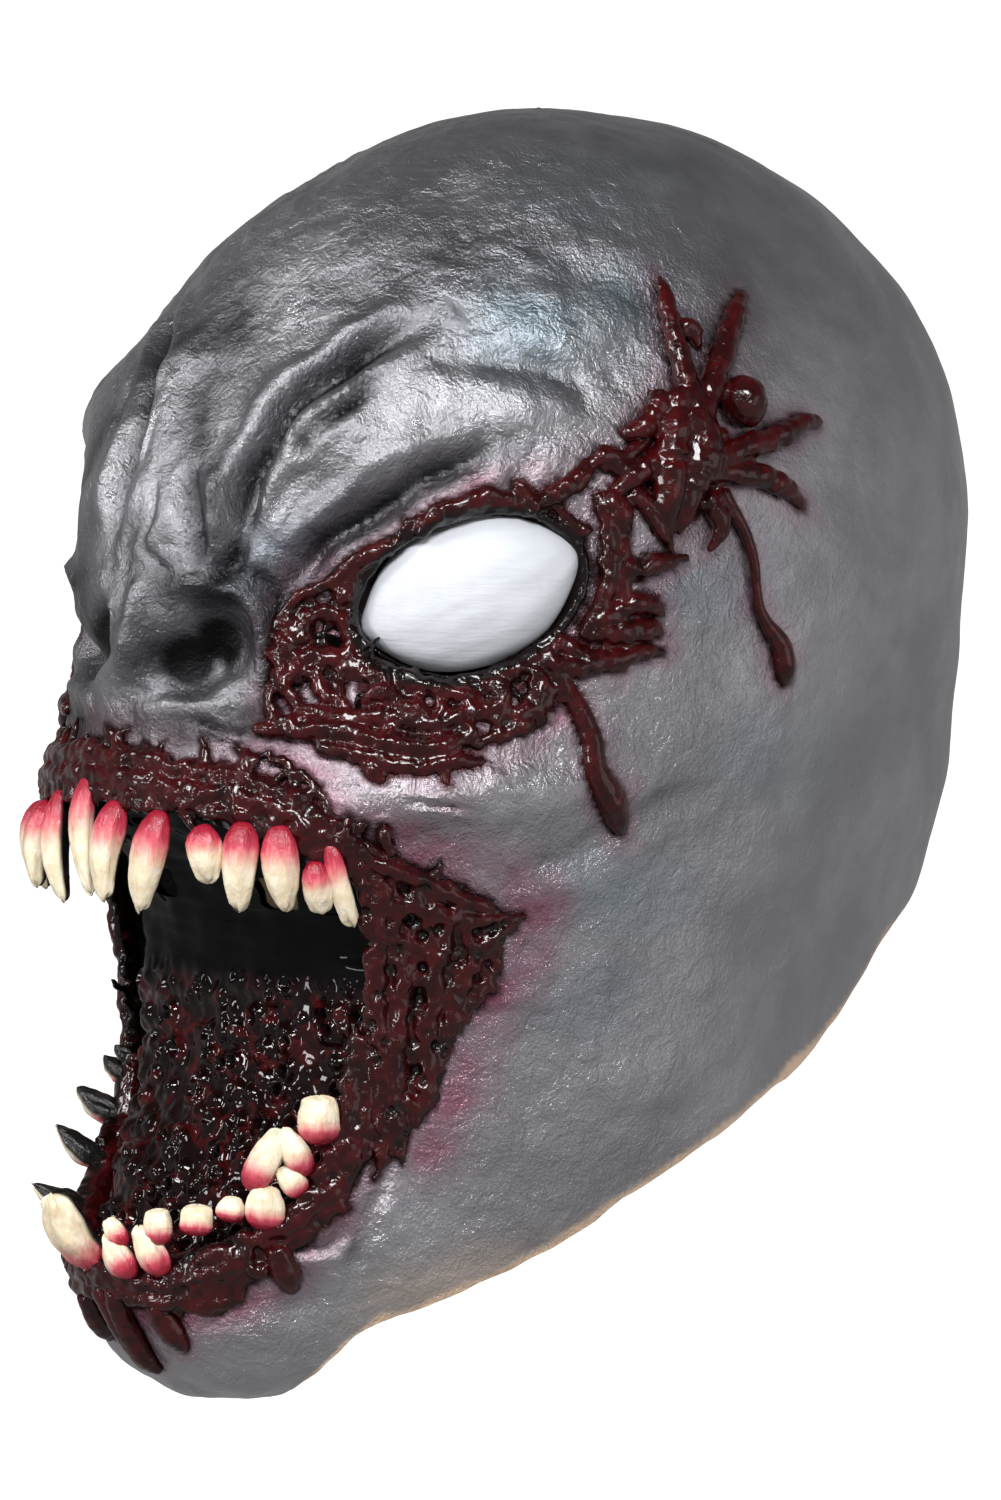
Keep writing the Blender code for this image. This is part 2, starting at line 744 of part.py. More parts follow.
def cheek_gore(name, side):
    rows = []
    columns = 5
    for z, begin, end in smooth_line(CHEEK_GORE, 2):
        row = []
        for j in range(columns + 1):
            row.append(pressed(begin + (end - begin) * j / columns, z, DRAPE_GAP, side))
        rows.append(row)
    mesh = grid_mesh(name, rows)
    patch = bmesh.new()
    patch.from_mesh(mesh)
    face_outwards(patch, side)
    patch.to_mesh(mesh)
    patch.free()
    obj = add(name, mesh, GORE)
    solidify(obj, CHEEK_WALL, 1)
    return obj


def drip(name, points, radius, side):
    line = [pressed(a, z, radius + DRAPE_GAP, side) for a, z in smooth_line(points, 3)]
    last = len(line) - 1
    radii = [0.65 + 0.35 * (i / last) ** 2 for i in range(last)] + [0.5]
    return as_mesh(tube(name, line, radii, radius, GORE))


# ---------------------------------------------------------------- the mask


def build():
    latex_skin()
    throat_liner()
    upper = gum("upper_gum", UPPER_GUM, UPPER_GUM_RADIUS)
    row_of_teeth("upper", upper, UPPER_GUM, UPPER_LEFT, UPPER_RIGHT, down=1)
    lower = gum("lower_gum", LOWER_GUM, LOWER_GUM_RADIUS)
    row_of_teeth("lower", lower, LOWER_GUM, LOWER_LEFT, LOWER_RIGHT, down=-1)
    for side, word in ((1, "left"), (-1, "right")):
        eye_dome(f"eye_dome_{word}", side)
        eye_gore(f"eye_gore_{word}", side)
        cheek_gore(f"cheek_gore_{word}", side)
        for name, (points, radius) in DRIPS.items():
            if side == 1 or not name.startswith("temple"):
                drip(f"{name}_{word}", points, radius, side)
    round_patch("temple_wound_left", (WOUND_A, WOUND_Z), None, TEMPLE_WOUND, WOUND_WALL, 1, rings=5)


build()
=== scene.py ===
"""The looks of the full-head latex monster mask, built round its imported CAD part.

Metres, +Z up. The face looks along -Y and the wearer's left side is +X, as in the CAD part.
Places on the face are given in millimetres on the side plane: an upright plane that faces three
quarters to the wearer's left. a runs backwards along it from the middle of the head, z runs up,
and a place is where the plane's normal meets the head.
"""

import itertools
import math

import bmesh
import bpy
import numpy as np
from mathutils import Matrix, Vector
from mathutils.bvhtree import BVHTree


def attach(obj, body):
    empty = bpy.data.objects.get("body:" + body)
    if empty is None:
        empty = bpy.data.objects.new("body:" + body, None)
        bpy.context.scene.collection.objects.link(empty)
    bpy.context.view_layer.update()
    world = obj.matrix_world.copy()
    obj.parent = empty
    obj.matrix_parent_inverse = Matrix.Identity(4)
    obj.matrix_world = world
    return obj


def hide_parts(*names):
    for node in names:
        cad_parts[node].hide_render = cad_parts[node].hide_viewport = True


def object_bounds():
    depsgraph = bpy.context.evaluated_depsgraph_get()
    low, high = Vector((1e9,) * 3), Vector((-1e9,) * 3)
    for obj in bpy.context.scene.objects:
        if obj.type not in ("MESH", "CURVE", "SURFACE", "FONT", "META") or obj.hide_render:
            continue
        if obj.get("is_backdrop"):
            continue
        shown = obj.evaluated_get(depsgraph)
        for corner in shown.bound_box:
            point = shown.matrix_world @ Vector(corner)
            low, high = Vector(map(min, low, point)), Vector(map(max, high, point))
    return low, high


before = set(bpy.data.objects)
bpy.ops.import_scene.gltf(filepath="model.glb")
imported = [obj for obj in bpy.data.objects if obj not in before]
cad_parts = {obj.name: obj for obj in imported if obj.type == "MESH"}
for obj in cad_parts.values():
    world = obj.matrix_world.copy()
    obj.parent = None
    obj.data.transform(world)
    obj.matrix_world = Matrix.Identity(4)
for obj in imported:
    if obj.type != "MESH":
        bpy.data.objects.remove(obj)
CAD_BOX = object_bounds()

# ---------------------------------------------------------------- noise


def hashed(cell, seed):
    """A repeatable number from 0 to 1 for each whole-number cell."""
    h = cell[..., 0] * 374761393 + cell[..., 1] * 668265263 + cell[..., 2] * 1442695041
    h = h + seed * 1013904223
    h = (h ^ (h >> 13)) * 1274126177
    h = h ^ (h >> 16)
    return (h & 0xFFFFF) / float(0xFFFFF)


TURN = np.array(Matrix.Rotation(0.9, 3, Vector((1, 2, 3)).normalized()))


def noise(p, size, seed=0):
    """Smooth noise from -1 to 1, with features about size apart."""
    q = (p / size) @ TURN.T + 0.37 * seed
    base = np.floor(q).astype(np.int64)
    f = q - base
    f = f * f * f * (f * (6 * f - 15) + 10)
    total = np.zeros(p.shape[:-1])
    for corner in itertools.product((0, 1), repeat=3):
        weight = np.ones(p.shape[:-1])
        for axis in range(3):
            weight = weight * (f[..., axis] if corner[axis] else 1 - f[..., axis])
        total += weight * hashed(base + np.array(corner), seed)
    return 2 * total - 1


def rough(p, size, seed=0, octaves=3):
    """Noise with finer noise on top, each layer half the size and height of the last."""
    return sum(noise(p, size / 2**k, seed + 17 * k) / 2**k for k in range(octaves))


def folds(p, size, seed=0):
    """Sharp raised folds from 0 to 1."""
    return (1 - np.abs(noise(p, size, seed))) ** 3


def cells(p, size, seed=0):
    """Distance to the nearest and to the second nearest of scattered points, in sizes."""
    q = (p / size) @ TURN.T + 0.37 * seed
    base = np.floor(q).astype(np.int64)
    first = np.full(p.shape[:-1], 9.0)
    second = np.full(p.shape[:-1], 9.0)
    for offset in itertools.product((-1, 0, 1), repeat=3):
        cell = base + np.array(offset)
        away = np.zeros(p.shape[:-1])
        for axis in range(3):
            place = cell[..., axis] + hashed(cell, seed + 101 + axis)
            away += (place - q[..., axis]) ** 2
        away = np.sqrt(away)
        second = np.minimum(second, np.maximum(first, away))
        first = np.minimum(first, away)
    return first, second


def step(low, high, x):
    """0 below low, 1 above high, smooth between."""
    t = np.clip((x - low) / (high - low), 0, 1)
    return t * t * (3 - 2 * t)


# ---------------------------------------------------------------- form of the head

CRANIUM_CENTRE_Y = -0.006
CRANIUM_DEPTH, CRANIUM_WIDTH, CRANIUM_HEIGHT = 0.134, 0.100, 0.117
# height, front, back, half width, where widest, squareness
FACE_SECTIONS = [
    (-0.030, -0.144, 0.1265, 0.0985, -0.008, 2.0),
    (-0.055, -0.154, 0.1225, 0.095, -0.013, 2.05),
    (-0.080, -0.161, 0.119, 0.091, -0.018, 2.15),
    (-0.110, -0.161, 0.114, 0.086, -0.022, 1.95),
    (-0.140, -0.158, 0.108, 0.081, -0.026, 1.9),
    (-0.170, -0.158, 0.098, 0.075, -0.032, 2.0),
    (-0.198, -0.159, 0.080, 0.066, -0.045, 2.05),
    (-0.220, -0.148, 0.035, 0.052, -0.070, 2.0),
    (-0.233, -0.136, -0.040, 0.034, -0.095, 2.0),
    (-0.239, -0.117, -0.117, 0.0, -0.117, 2.0),
]
# centre, radius along each axis, height; off-middle ones on both sides
SWELLINGS = [
    ((0.0, -0.147, 0.004), (0.024, 0.05, 0.034), 0.013),  # bridge of the nose
    ((0.0, -0.152, -0.026), (0.036, 0.05, 0.018), 0.0115),  # nostril wings
    ((0.027, -0.138, 0.006), (0.020, 0.04, 0.026), 0.0075),  # where the brow meets the nose
    ((0.044, -0.118, 0.034), (0.024, 0.04, 0.016), 0.006),  # brow
    ((0.060, -0.110, -0.016), (0.026, 0.03, 0.020), -0.006),  # eye socket
    ((0.078, -0.085, -0.060), (0.030, 0.04, 0.018), 0.005),  # cheekbone
]


def all_sections():
    """The sections from the crown to the chin: an ellipsoid above the ears, then the face."""
    found = []
    for degrees in (0, 18, 36, 54, 72, 90):
        out = math.sin(math.radians(degrees))
        z = CRANIUM_HEIGHT * math.cos(math.radians(degrees))
        front = CRANIUM_CENTRE_Y - CRANIUM_DEPTH * out
        back = CRANIUM_CENTRE_Y + CRANIUM_DEPTH * out
        found.append((z, front, back, CRANIUM_WIDTH * out, CRANIUM_CENTRE_Y, 2.0))
    return np.array(found + FACE_SECTIONS)


SECTIONS = all_sections()
LAST = len(SECTIONS) - 1


def past_end(section):
    """The section next to an end as it is seen past the end, turned round."""
    height, front, back, width, widest, square = section
    return height, back, front, -width, widest, square


PADDED = np.vstack([past_end(SECTIONS[1]), SECTIONS, past_end(SECTIONS[-2])])


def between(a, b, c, d, t):
    """The point at t on a smooth curve from b to c, with a before them and d after."""
    return b + 0.5 * t * (c - a + t * (2 * a - 5 * b + 4 * c - d + t * (3 * (b - c) + d - a)))


def section_at(s):
    """The sections at s, from 0 at the crown to LAST at the chin, on a smooth curve."""
    i = np.minimum(s.astype(int), LAST - 1)
    t = (s - i)[..., None]
    return between(*(PADDED[i + k] for k in range(4)), t)


def plain_point(s, turn):
    """The point on the plain head at s and at an angle round from the front."""
    z, front, back, width, widest, square = np.moveaxis(section_at(s), -1, 0)
    sine, cosine = np.sin(turn), np.cos(turn)
    x = np.sign(sine) * np.abs(sine) ** (2 / square) * width
    reach = np.where(cosine > 0, front, back) - widest
    y = widest + reach * np.abs(cosine) ** (2 / square)
    return np.stack([x, y, z], axis=-1)


def swelling(p):
    """Height of the broad forms of the face."""
    height = np.zeros(p.shape[:-1])
    for centre, radius, h in SWELLINGS:
        for side in (-1, 1) if centre[0] else (1,):
            away = ((p - np.array(centre) * (side, 1, 1)) / np.array(radius)) ** 2
            height += h * np.exp(-away.sum(-1))
    return height


def unit(v):
    return v / np.maximum(np.linalg.norm(v, axis=-1, keepdims=True), 1e-12)


FRONT_CROWDING = 0.45  # how much closer together the columns are at the front


def head_grid(rows, columns):
    """Points on the outside of the head before any sculpting, and which way they face."""
    s = (LAST * np.arange(1, rows) / rows)[:, None] * np.ones(columns)
    turn = 2 * np.pi * np.arange(columns) / columns
    turn = (turn - FRONT_CROWDING * np.sin(turn))[None, :] * np.ones((rows - 1, 1))
    little = 0.01
    p = plain_point(s, turn)
    below, above = np.minimum(s + little, LAST), np.maximum(s - little, 0)
    along = plain_point(below, turn) - plain_point(above, turn)
    across = plain_point(s, turn + little) - plain_point(s, turn - little)
    out = unit(np.cross(along, across))
    middle = np.stack([0 * s, CRANIUM_CENTRE_Y + 0 * s, p[..., 2] * 0.7], axis=-1)
    out = out * np.where((out * (p - middle)).sum(-1) < 0, -1, 1)[..., None]
    p = p + out * swelling(p)[..., None]
    return p, out


def grid_faces(rows, columns, closed):
    """The faces of a grid of points. The last column of a closed grid meets its first."""
    last = columns if closed else columns - 1
    i, j = np.meshgrid(np.arange(rows - 1), np.arange(last), indexing="ij")
    k = (j + 1) % columns
    above, below = i * columns, (i + 1) * columns
    return np.stack([above + j, below + j, below + k, above + k], -1).reshape(-1, 4).tolist()


def closed_head(name, grid, crown, chin):
    """A closed mesh through a grid of points, from the crown to the chin."""
    rows, columns = grid.shape[:2]
    points = np.vstack([grid.reshape(-1, 3), crown, chin])
    faces = grid_faces(rows, columns, True)
    j = np.arange(columns)
    k = (j + 1) % columns
    top = np.stack([np.full(columns, rows * columns), j, k], -1)
    low = (rows - 1) * columns
    bottom = np.stack([np.full(columns, rows * columns + 1), low + k, low + j], -1)
    mesh = bpy.data.meshes.new(name)
    mesh.from_pydata(points.tolist(), [], faces + top.tolist() + bottom.tolist())
    outwards(mesh)
    return mesh


def outwards(mesh):
    """Turns every face outwards."""
    turned = bmesh.new()
    turned.from_mesh(mesh)
    bmesh.ops.recalc_face_normals(turned, faces=turned.faces)
    turned.to_mesh(mesh)
    turned.free()


def ring_faces(rows, sides, first=0):
    """The four-sided faces between neighbouring closed rings of points, from one ring on."""
    faces = []
    for here in range(first * sides, (rows - 1) * sides, sides):
        after = here + sides
        for j in range(sides):
            k = (j + 1) % sides
            faces.append([here + j, here + k, after + k, after + j])
    return faces


def tree_of(mesh):
    read = bmesh.new()
    read.from_mesh(mesh)
    found = BVHTree.FromBMesh(read)
    read.free()
    return found


def coordinates(mesh):
    found = np.empty(len(mesh.vertices) * 3)
    mesh.vertices.foreach_get("co", found)
    return found.reshape(-1, 3)


def normals(mesh):
    found = np.empty(len(mesh.vertices) * 3)
    mesh.vertices.foreach_get("normal", found)
    return found.reshape(-1, 3)


def move_points(mesh, points):
    mesh.vertices.foreach_set("co", points.ravel())
    mesh.update()


CROWN, CHIN = np.array([[0, CRANIUM_CENTRE_Y, CRANIUM_HEIGHT]]), np.array([[0, -0.117, -0.239]])
BASE_MESH = closed_head("base", head_grid(110, 150)[0], CROWN, CHIN)
BASE_TREE = tree_of(BASE_MESH)

SIDE_TURN = math.radians(52)
SIDE_OUT = Vector((math.sin(SIDE_TURN), -math.cos(SIDE_TURN), 0))
SIDE_ALONG = Vector((math.cos(SIDE_TURN), math.sin(SIDE_TURN), 0))


def mirror(p, side):
    return Vector((p.x * side, p.y, p.z))


def pressed(a, z, lift=0.0, side=1):
    """The point on the plain head under (a, z) millimetres, lifted off it by lift metres."""
    start = SIDE_ALONG * (a / 1000) + SIDE_OUT * 0.3 + Vector((0, 0, z / 1000))
    hit, normal, _, _ = BASE_TREE.ray_cast(start, -SIDE_OUT)
    if hit is None:
        hit, normal, _, _ = BASE_TREE.find_nearest(start - SIDE_OUT * 0.3)
    return mirror(hit + normal * lift, side)


def smooth_line(points, steps):
    """A smooth open curve through points, which may be tuples of any length."""
    p = np.array(points, float)
    if len(p) < 3:
        t = np.linspace(0, 1, steps * (len(p) - 1) + 1)[:, None]
        return p[0] + (p[-1] - p[0]) * t
    p = np.vstack([2 * p[0] - p[1], p, 2 * p[-1] - p[-2]])
    found = []
    for i in range(1, len(p) - 2):
        found += [between(*p[i - 1 : i + 3], k / steps) for k in range(steps)]
    return np.array(found + [p[-2]])


def surface_line(points):
    """A smooth line on the plain head through places (a, z)."""
    return np.array([pressed(a, z) for a, z in smooth_line(points, 3)])


def near_line(p, line):
    """Distance of each point of p from a line of points, and how far along it, from 0 to 1."""
    best = np.full(len(p), 9.0)
    share = np.zeros(len(p))
    lengths = np.linalg.norm(np.diff(line, axis=0), axis=1)
    total, done = lengths.sum(), 0.0
    for a, b, length in zip(line, line[1:], lengths):
        along = np.clip((p - a) @ (b - a) / length**2, 0, 1)
        away = np.linalg.norm(p - a - along[:, None] * (b - a), axis=1)
        closer = away < best
        best[closer] = away[closer]
        share[closer] = (done + along[closer] * length) / total
        done += length
    return best, share


# ---------------------------------------------------------------- sculpting the skin

# Creases pressed in the skin: which side, half width, depth and height of the raised edges in
# millimetres, and the places it runs through.
CREASES = [
    ("left", 4.4, 7.5, 3.2, [
        (-85.5, -4), (-86.5, 6), (-85, 18), (-80, 29), (-72, 41), (-60, 50), (-45, 57.5), (-35, 62),
        (-29, 65),
    ]),
    ("left", 1.8, 3.0, 1.4, [(-73, 24), (-65, 34), (-55, 42), (-45, 48)]),
    ("left", 1.6, 1.4, 0.8, [(-79, 8), (-74, 18), (-66, 26)]),
    ("both", 3.8, 6.5, 1.8, [
        (-76, -12), (-70, -3), (-62, 4), (-48, 13), (-34, 22), (-21, 28), (-12, 33),
    ]),
    ("both", 4.0, -2.6, 0.0, [(-72, 0), (-66, 9), (-54, 20), (-38, 30), (-24, 37)]),
    ("both", 4.5, 2.0, 0.6, [(-24, 53), (-12, 50), (-1, 48), (7, 43), (11, 38)]),
    ("right", 3.6, 6.0, 2.0, [
        (-124, -2), (-121.5, 8), (-119, 18), (-115, 32), (-110, 46), (-108, 58), (-104, 68),
    ]),
    ("right", 1.6, 1.4, 0.6, [(-123, 28), (-119, 41), (-115, 49)]),
    ("both", 5.0, -3.2, 0.0, [(-119, 2), (-113, 19), (-107, 36), (-102, 50), (-95, 66)]),
    ("left", 3.0, 2.6, 0.8, [(-101, 26), (-101.5, 18), (-99, 8), (-98, -1), (-94, -8)]),
    ("left", 1.4, 1.6, 0.8, [(-110, 24), (-109, 13), (-111.5, 3), (-114, -7)]),
    ("left", 3.0, 3.6, 1.2, [(-95, -9), (-89.5, -2), (-87, 6)]),
    ("left", 1.5, 1.4, 0.7, [(-113, 5), (-109, -3), (-104, -8)]),
    ("both", 3.0, -4.2, 0.0, [
        (-108, -13), (-104, -10), (-96, -8), (-88, -10), (-82, -16), (-80, -25), (-81, -33),
        (-87, -40),
    ]),
    ("both", 2.6, 2.8, 0.0, [
        (-98, -1), (-86, -4.5), (-77, -11), (-74.5, -22), (-76, -36), (-83, -46),
    ]),
    ("left", 3.0, -3.6, 0.0, [
        (-111, -4), (-114, -10), (-116.5, -18), (-118, -26), (-119.5, -35), (-121, -43),
    ]),
    ("left", 2.6, -2.0, 0.0, [(-103, 18), (-106, 11), (-110, 5), (-113, -2), (-116, -8)]),
    ("both", 3.2, -2.6, 0.0, [(-117, -47), (-106, -43.5), (-96, -41.5), (-86, -41)]),
    ("left", 3.0, -3.0, 0.0, [(-94, 24), (-93, 12), (-92.5, 2)]),
    ("both", 2.0, 1.8, 0.6, [(-100, -45), (-92, -50), (-80, -52)]),
    ("both", 4.6, 1.5, 0.4, [(-16, -88), (1, -85), (14, -80), (30, -70), (46, -66)]),
    ("both", 2.6, 1.4, 0.7, [(-51, -175), (-55, -189), (-58, -204)]),
    ("both", 2.2, 1.2, 0.6, [(-44, -161), (-49, -178), (-52, -198)]),
    ("both", 2.2, 1.6, 0.7, [(-74.5, -192), (-63, -192), (-58, -181)]),
    ("both", 1.2, 1.0, 0.5, [(1, 53), (5, 48), (9.5, 42)]),
    ("both", 1.3, 1.1, 0.5, [(12, 56), (16.5, 48), (18.5, 42)]),
    ("both", 1.1, 1.0, 0.5, [(-16, 43), (-10, 37.5), (-3, 34.5)]),
    ("both", 1.1, 0.9, 0.5, [(1, 34.5), (8, 31.5), (12, 34)]),
    ("both", 1.3, 1.2, 0.6, [(-44, -66), (-33, -69), (-21, -71)]),
    ("both", 1.2, 1.1, 0.5, [(-21, -62), (-10, -63), (3, -57)]),
]
# Round dents: side, centre, radius along and up, depth.
DENTS = [
    ("both", (-69, -216), (6, 17), 2.4),
    ("both", (-104, -31), (8.5, 8.5), 6.5),
    ("both", (-94.5, -25.5), (9.0, 8.5), 7.0),
    ("right", (-128, -25), (4.6, 11.0), 7.0),
    ("both", (45, -15), (22, 30), 1.8),
    ("both", (-20, 92), (34, 18), 1.4),
    ("both", (20, 62), (20, 14), 1.2),
    ("both", (-72, -70), (10, 5), 1.0),
]
# Round swellings, the same way.
LUMPS = [
    ("both", (-58, 30), (16, 9), 2.2),
    ("both", (-121, -36), (5, 14), 2.2),
    ("both", (-30, -67), (38, 9), 4.2),
    ("both", (-20, 42), (24, 8), 2.6),
    ("both", (1, 62), (17, 9), 3.0),
    ("both", (-84, -222), (20, 13), 4.0),
    ("both", (26, -150), (14, 8), 1.4),
]
# The eye's middle on the side plane and its half size there in millimetres, its tilt, and how
# pointed its corners are. Then its half size in metres and how deep its middle is sunk.
EYE_A, EYE_Z, EYE_LONG, EYE_HIGH, EYE_TILT = -24.1, -11.9, 31.5, 20.8, math.radians(20)
EYE_POINTED = 0.42
EYE_HALF_LENGTH, EYE_HALF_HEIGHT, EYE_HALF_DEPTH, EYE_SINK = 0.0315, 0.0208, 0.0135, 0.0065


def on_left(p):
    """The points moved to the wearer's left, as in a mirror."""
    return p * (0, 1, 1) + np.abs(p) * (1, 0, 0)


def folded(p, sides):
    """The points seen as if on the left, and which of them this side's feature may touch."""
    left = p * (1, 1, 1)
    if sides == "both":
        left[:, 0] = np.abs(left[:, 0])
        return left, np.ones(len(p), bool)
    return left, p[:, 0] > -0.004 if sides == "left" else p[:, 0] < 0.004


def on_plane(p):
    """Places (a, z) on the side plane of points on the left."""
    return p @ np.array(SIDE_ALONG) * 1000, p[:, 2] * 1000


def eye_ring(p):
    """How far out from the eye's middle each point is, in eye sizes, and at what angle."""
    a, z = on_plane(on_left(p))
    x, y = a - EYE_A, z - EYE_Z
    along = x * math.cos(EYE_TILT) + y * math.sin(EYE_TILT)
    up = -x * math.sin(EYE_TILT) + y * math.cos(EYE_TILT)
    reach = np.hypot(along / EYE_LONG, up / EYE_HIGH)
    return np.where(p[:, 1] < 0.01, reach, 9.0), np.arctan2(up, along)


def large_forms(p, wider=1.0):
    """Height of the creases, dents and lumps at points on the plain head, and their black wash and
    painted shade.
    """
    bent = p + 0.0016 * np.stack([noise(p, 0.014, k) for k in (1, 2, 3)], -1)
    height = np.zeros(len(p))
    black_and_shade = np.zeros(len(p))
    for sides, width, depth, edge, points in CREASES:
        q, mine = folded(bent, sides)
        line = surface_line(points)
        low, high = line.min(0) - 0.02, line.max(0) + 0.02
        mine = mine & ((q > low) & (q < high)).all(1)
        away, share = near_line(q[mine], line)
        away = away * 1000 / (width * wider)
        fade = step(0, 0.22, share) * step(0, 0.3, 1 - share)
        groove = np.exp(-(away**1.6))
        raised = np.exp(-(((away - 1.7) / 0.9) ** 2))
        height[mine] += fade * (edge * raised - depth * groove) / 1000
        # Deep creases are darkened along their bottoms: partly a black wash, partly painted shade.
        black = fade * np.exp(-((away / 0.9) ** 2)) * np.clip((depth - 1.1) / 1.9, 0, 0.97)
        black_and_shade[mine] = np.maximum(black_and_shade[mine], black)
    for forms, sign in ((DENTS, -1), (LUMPS, 1)):
        for sides, centre, radius, depth in forms:
            q, mine = folded(bent, sides)
            mine = mine & (np.linalg.norm(q - np.array(pressed(*centre)), axis=1) < 0.07)
            a, z = on_plane(q[mine])
            away = np.hypot((a - centre[0]) / radius[0], (z - centre[1]) / radius[1]) / wider
            height[mine] += sign * depth / 1000 * np.exp(-(away**3.4))
            # Deep dents get dark bottoms: partly black paint, partly painted shade.
            if sign < 0 and depth > 2.5:
                black_and_shade[mine] = np.maximum(black_and_shade[mine], 1.3 * np.exp(-((away / 0.92) ** 4)))
    return height, black_and_shade


def small_forms(p):
    """Height of the wrinkles and the hand-worked unevenness."""
    front = step(0.07, -0.05, p[:, 1])
    reach, angle = eye_ring(p)
    near_eye = step(1.15, 1.4, reach) * step(2.4, 1.7, reach)
    spokes = np.stack([angle * 8, reach * 1.6, 0 * reach], -1)
    worked = step(0.02, -0.10, p[:, 1]) * step(-0.19, -0.12, p[:, 2])
    height = 0.0010 * rough(p, 0.034, 5, 2)
    height += 0.00030 * rough(p, 0.012, 6, 2) * (0.3 + front)
    height += 0.00014 * rough(p, 0.0045, 7, 2) * (0.3 + front)
    height += 0.00050 * folds(p, 0.013, 8) * worked
    height += 0.00026 * folds(p, 0.0060, 9) * worked
    height += 0.0017 * near_eye * folds(spokes, 1.0, 10) * (0.6 + 0.4 * noise(p, 0.01, 11))
    return height


def add(name, mesh, *looks):
    obj = bpy.data.objects.new(name, mesh)
    bpy.context.scene.collection.objects.link(obj)
    for look in looks:
        mesh.materials.append(look)
    return obj


def evaluated(obj):
    """The mesh of an object with its modifiers worked in; the object is removed."""
    bpy.context.view_layer.update()
    graph = bpy.context.evaluated_depsgraph_get()
    mesh = bpy.data.meshes.new_from_object(obj.evaluated_get(graph))
    old = obj.data
    bpy.data.objects.remove(obj)
    if old.users == 0:
        bpy.data.meshes.remove(old)
    return mesh


def prism(name, outline, depth, place):
    """A closed solid: a flat outline of (x, y) points pushed depth both ways, then placed."""
    count = len(outline)
    flat = np.array(outline)
    points = [Vector((x, y, h)) for h in (-depth, depth) for x, y in flat]
    sides = [(i, (i + 1) % count, count + (i + 1) % count, count + i) for i in range(count)]
    mesh = bpy.data.meshes.new(name)
    ends = [tuple(range(count)), tuple(range(count, 2 * count))]
    mesh.from_pydata([place @ p for p in points], [], sides + ends)
    solid = bmesh.new()
    solid.from_mesh(mesh)
    bmesh.ops.triangulate(solid, faces=[f for f in solid.faces if len(f.verts) > 4])
    bmesh.ops.recalc_face_normals(solid, faces=solid.faces)
    solid.to_mesh(mesh)
    solid.free()
    return add(name, mesh)


def cut(obj, cutters):
    """Takes the cutters out of the object and removes them."""
    for cutter in cutters:
        boolean = obj.modifiers.new(cutter.name, "BOOLEAN")
        boolean.object = cutter
        boolean.operation = "DIFFERENCE"
        boolean.solver = "MANIFOLD"
    name = obj.name
    mesh = evaluated(obj)
    mesh.materials.clear()
    for cutter in cutters:
        bpy.data.objects.remove(cutter)
    return add(name, mesh)


# The hem of the neck seen from the side, as y and z.
HEM = [
    (0.20, -0.058), (0.12, -0.096), (0.075, -0.1165), (0.047, -0.1395), (0.010, -0.162),
    (-0.034, -0.185), (-0.054, -0.196), (-0.082, -0.208), (-0.103, -0.2155), (-0.111, -0.2225),
    (-0.1145, -0.232), (-0.116, -0.250),
]
HEM_FRONT = (-0.116, -0.30)
# Half the edge of the mouth seen from the front, as x and z, and how far back and half how
# deep it is cut.
MOUTH_CUT_BACK, MOUTH_CUT_DEPTH = 0.095, 0.08
MOUTH_SIDE = [
    (0.0, -0.0585), (0.030, -0.0615), (0.055, -0.069), (0.066, -0.080), (0.0675, -0.098),
    (0.0660, -0.125), (0.0640, -0.148), (0.0575, -0.169), (0.0470, -0.187), (0.033, -0.199),
    (0.0, -0.2045),
]
EYE_CLEARANCE = 0.0006
# Slots to look out of below the eye: centre, half size along and up, and turn in degrees.
VISION_SLOTS = [
    (-64.5, -25.5, 5.0, 3.2, 10), (-51.5, -41.5, 4.2, 3.4, -10), (-37.5, -45.0, 5.0, 2.6, 5),
]


def outward(a, z):
    """Which way the plain head faces under (a, z), smoothed over a few millimetres."""
    reach = 8
    along = pressed(a + reach, z) - pressed(a - reach, z)
    up = pressed(a, z + reach) - pressed(a, z - reach)
    return along.cross(up).normalized()


def frame_at(a, z, side, sink=0.0):
    """A place on the skin as a matrix: x level, towards the back, z out of the head."""
    out = outward(a, z)
    level = Vector((0, 0, 1)).cross(out).normalized()
    place = Matrix((level, out.cross(level), out)).transposed().to_4x4()
    place.translation = pressed(a, z) - out * sink
    return Matrix.Diagonal((side, 1, 1, 1)) @ place


def eye_place(side):
    return frame_at(EYE_A, EYE_Z, side, EYE_SINK) @ Matrix.Rotation(EYE_TILT, 4, "Z")


def ellipse(half_x, half_y, count, wobble, seed):
    """The outline of an ellipse with an uneven edge."""
    turns = np.linspace(0, 2 * np.pi, count, endpoint=False)
    ring = np.stack([np.cos(turns), np.sin(turns), 0 * turns + seed], -1)
    grow = 1 + wobble * noise(ring, 0.5, seed)
    return [(half_x * g * math.cos(t), half_y * g * math.sin(t)) for t, g in zip(turns, grow)]


def wavy(outline, size, amount, seed):
    """The outline with each point moved by up to about amount."""
    p = np.array([(x, y, 0.3) for x, y in outline])
    moves = [amount * rough(p, size, seed + k) for k in (0, 1)]
    return [(x + dx, y + dy) for (x, y), dx, dy in zip(outline, *moves)]


RIGHT_WIDER = 0.10  # how much wider the mouth is on the wearer's right, at its widest


def right_wider(z):
    """How much wider the mouth is on the wearer's right at height z."""
    return 1 + RIGHT_WIDER * step(-0.070, -0.100, z) * step(-0.206, -0.165, z)


def mouth_loop():
    """The edge of the mouth from the front, a little wider on the wearer's right."""
    half = [tuple(p) for p in smooth_line(MOUTH_SIDE, 8)]
    return half + [(-x * float(right_wider(z)), z) for x, z in half][-2:0:-1]


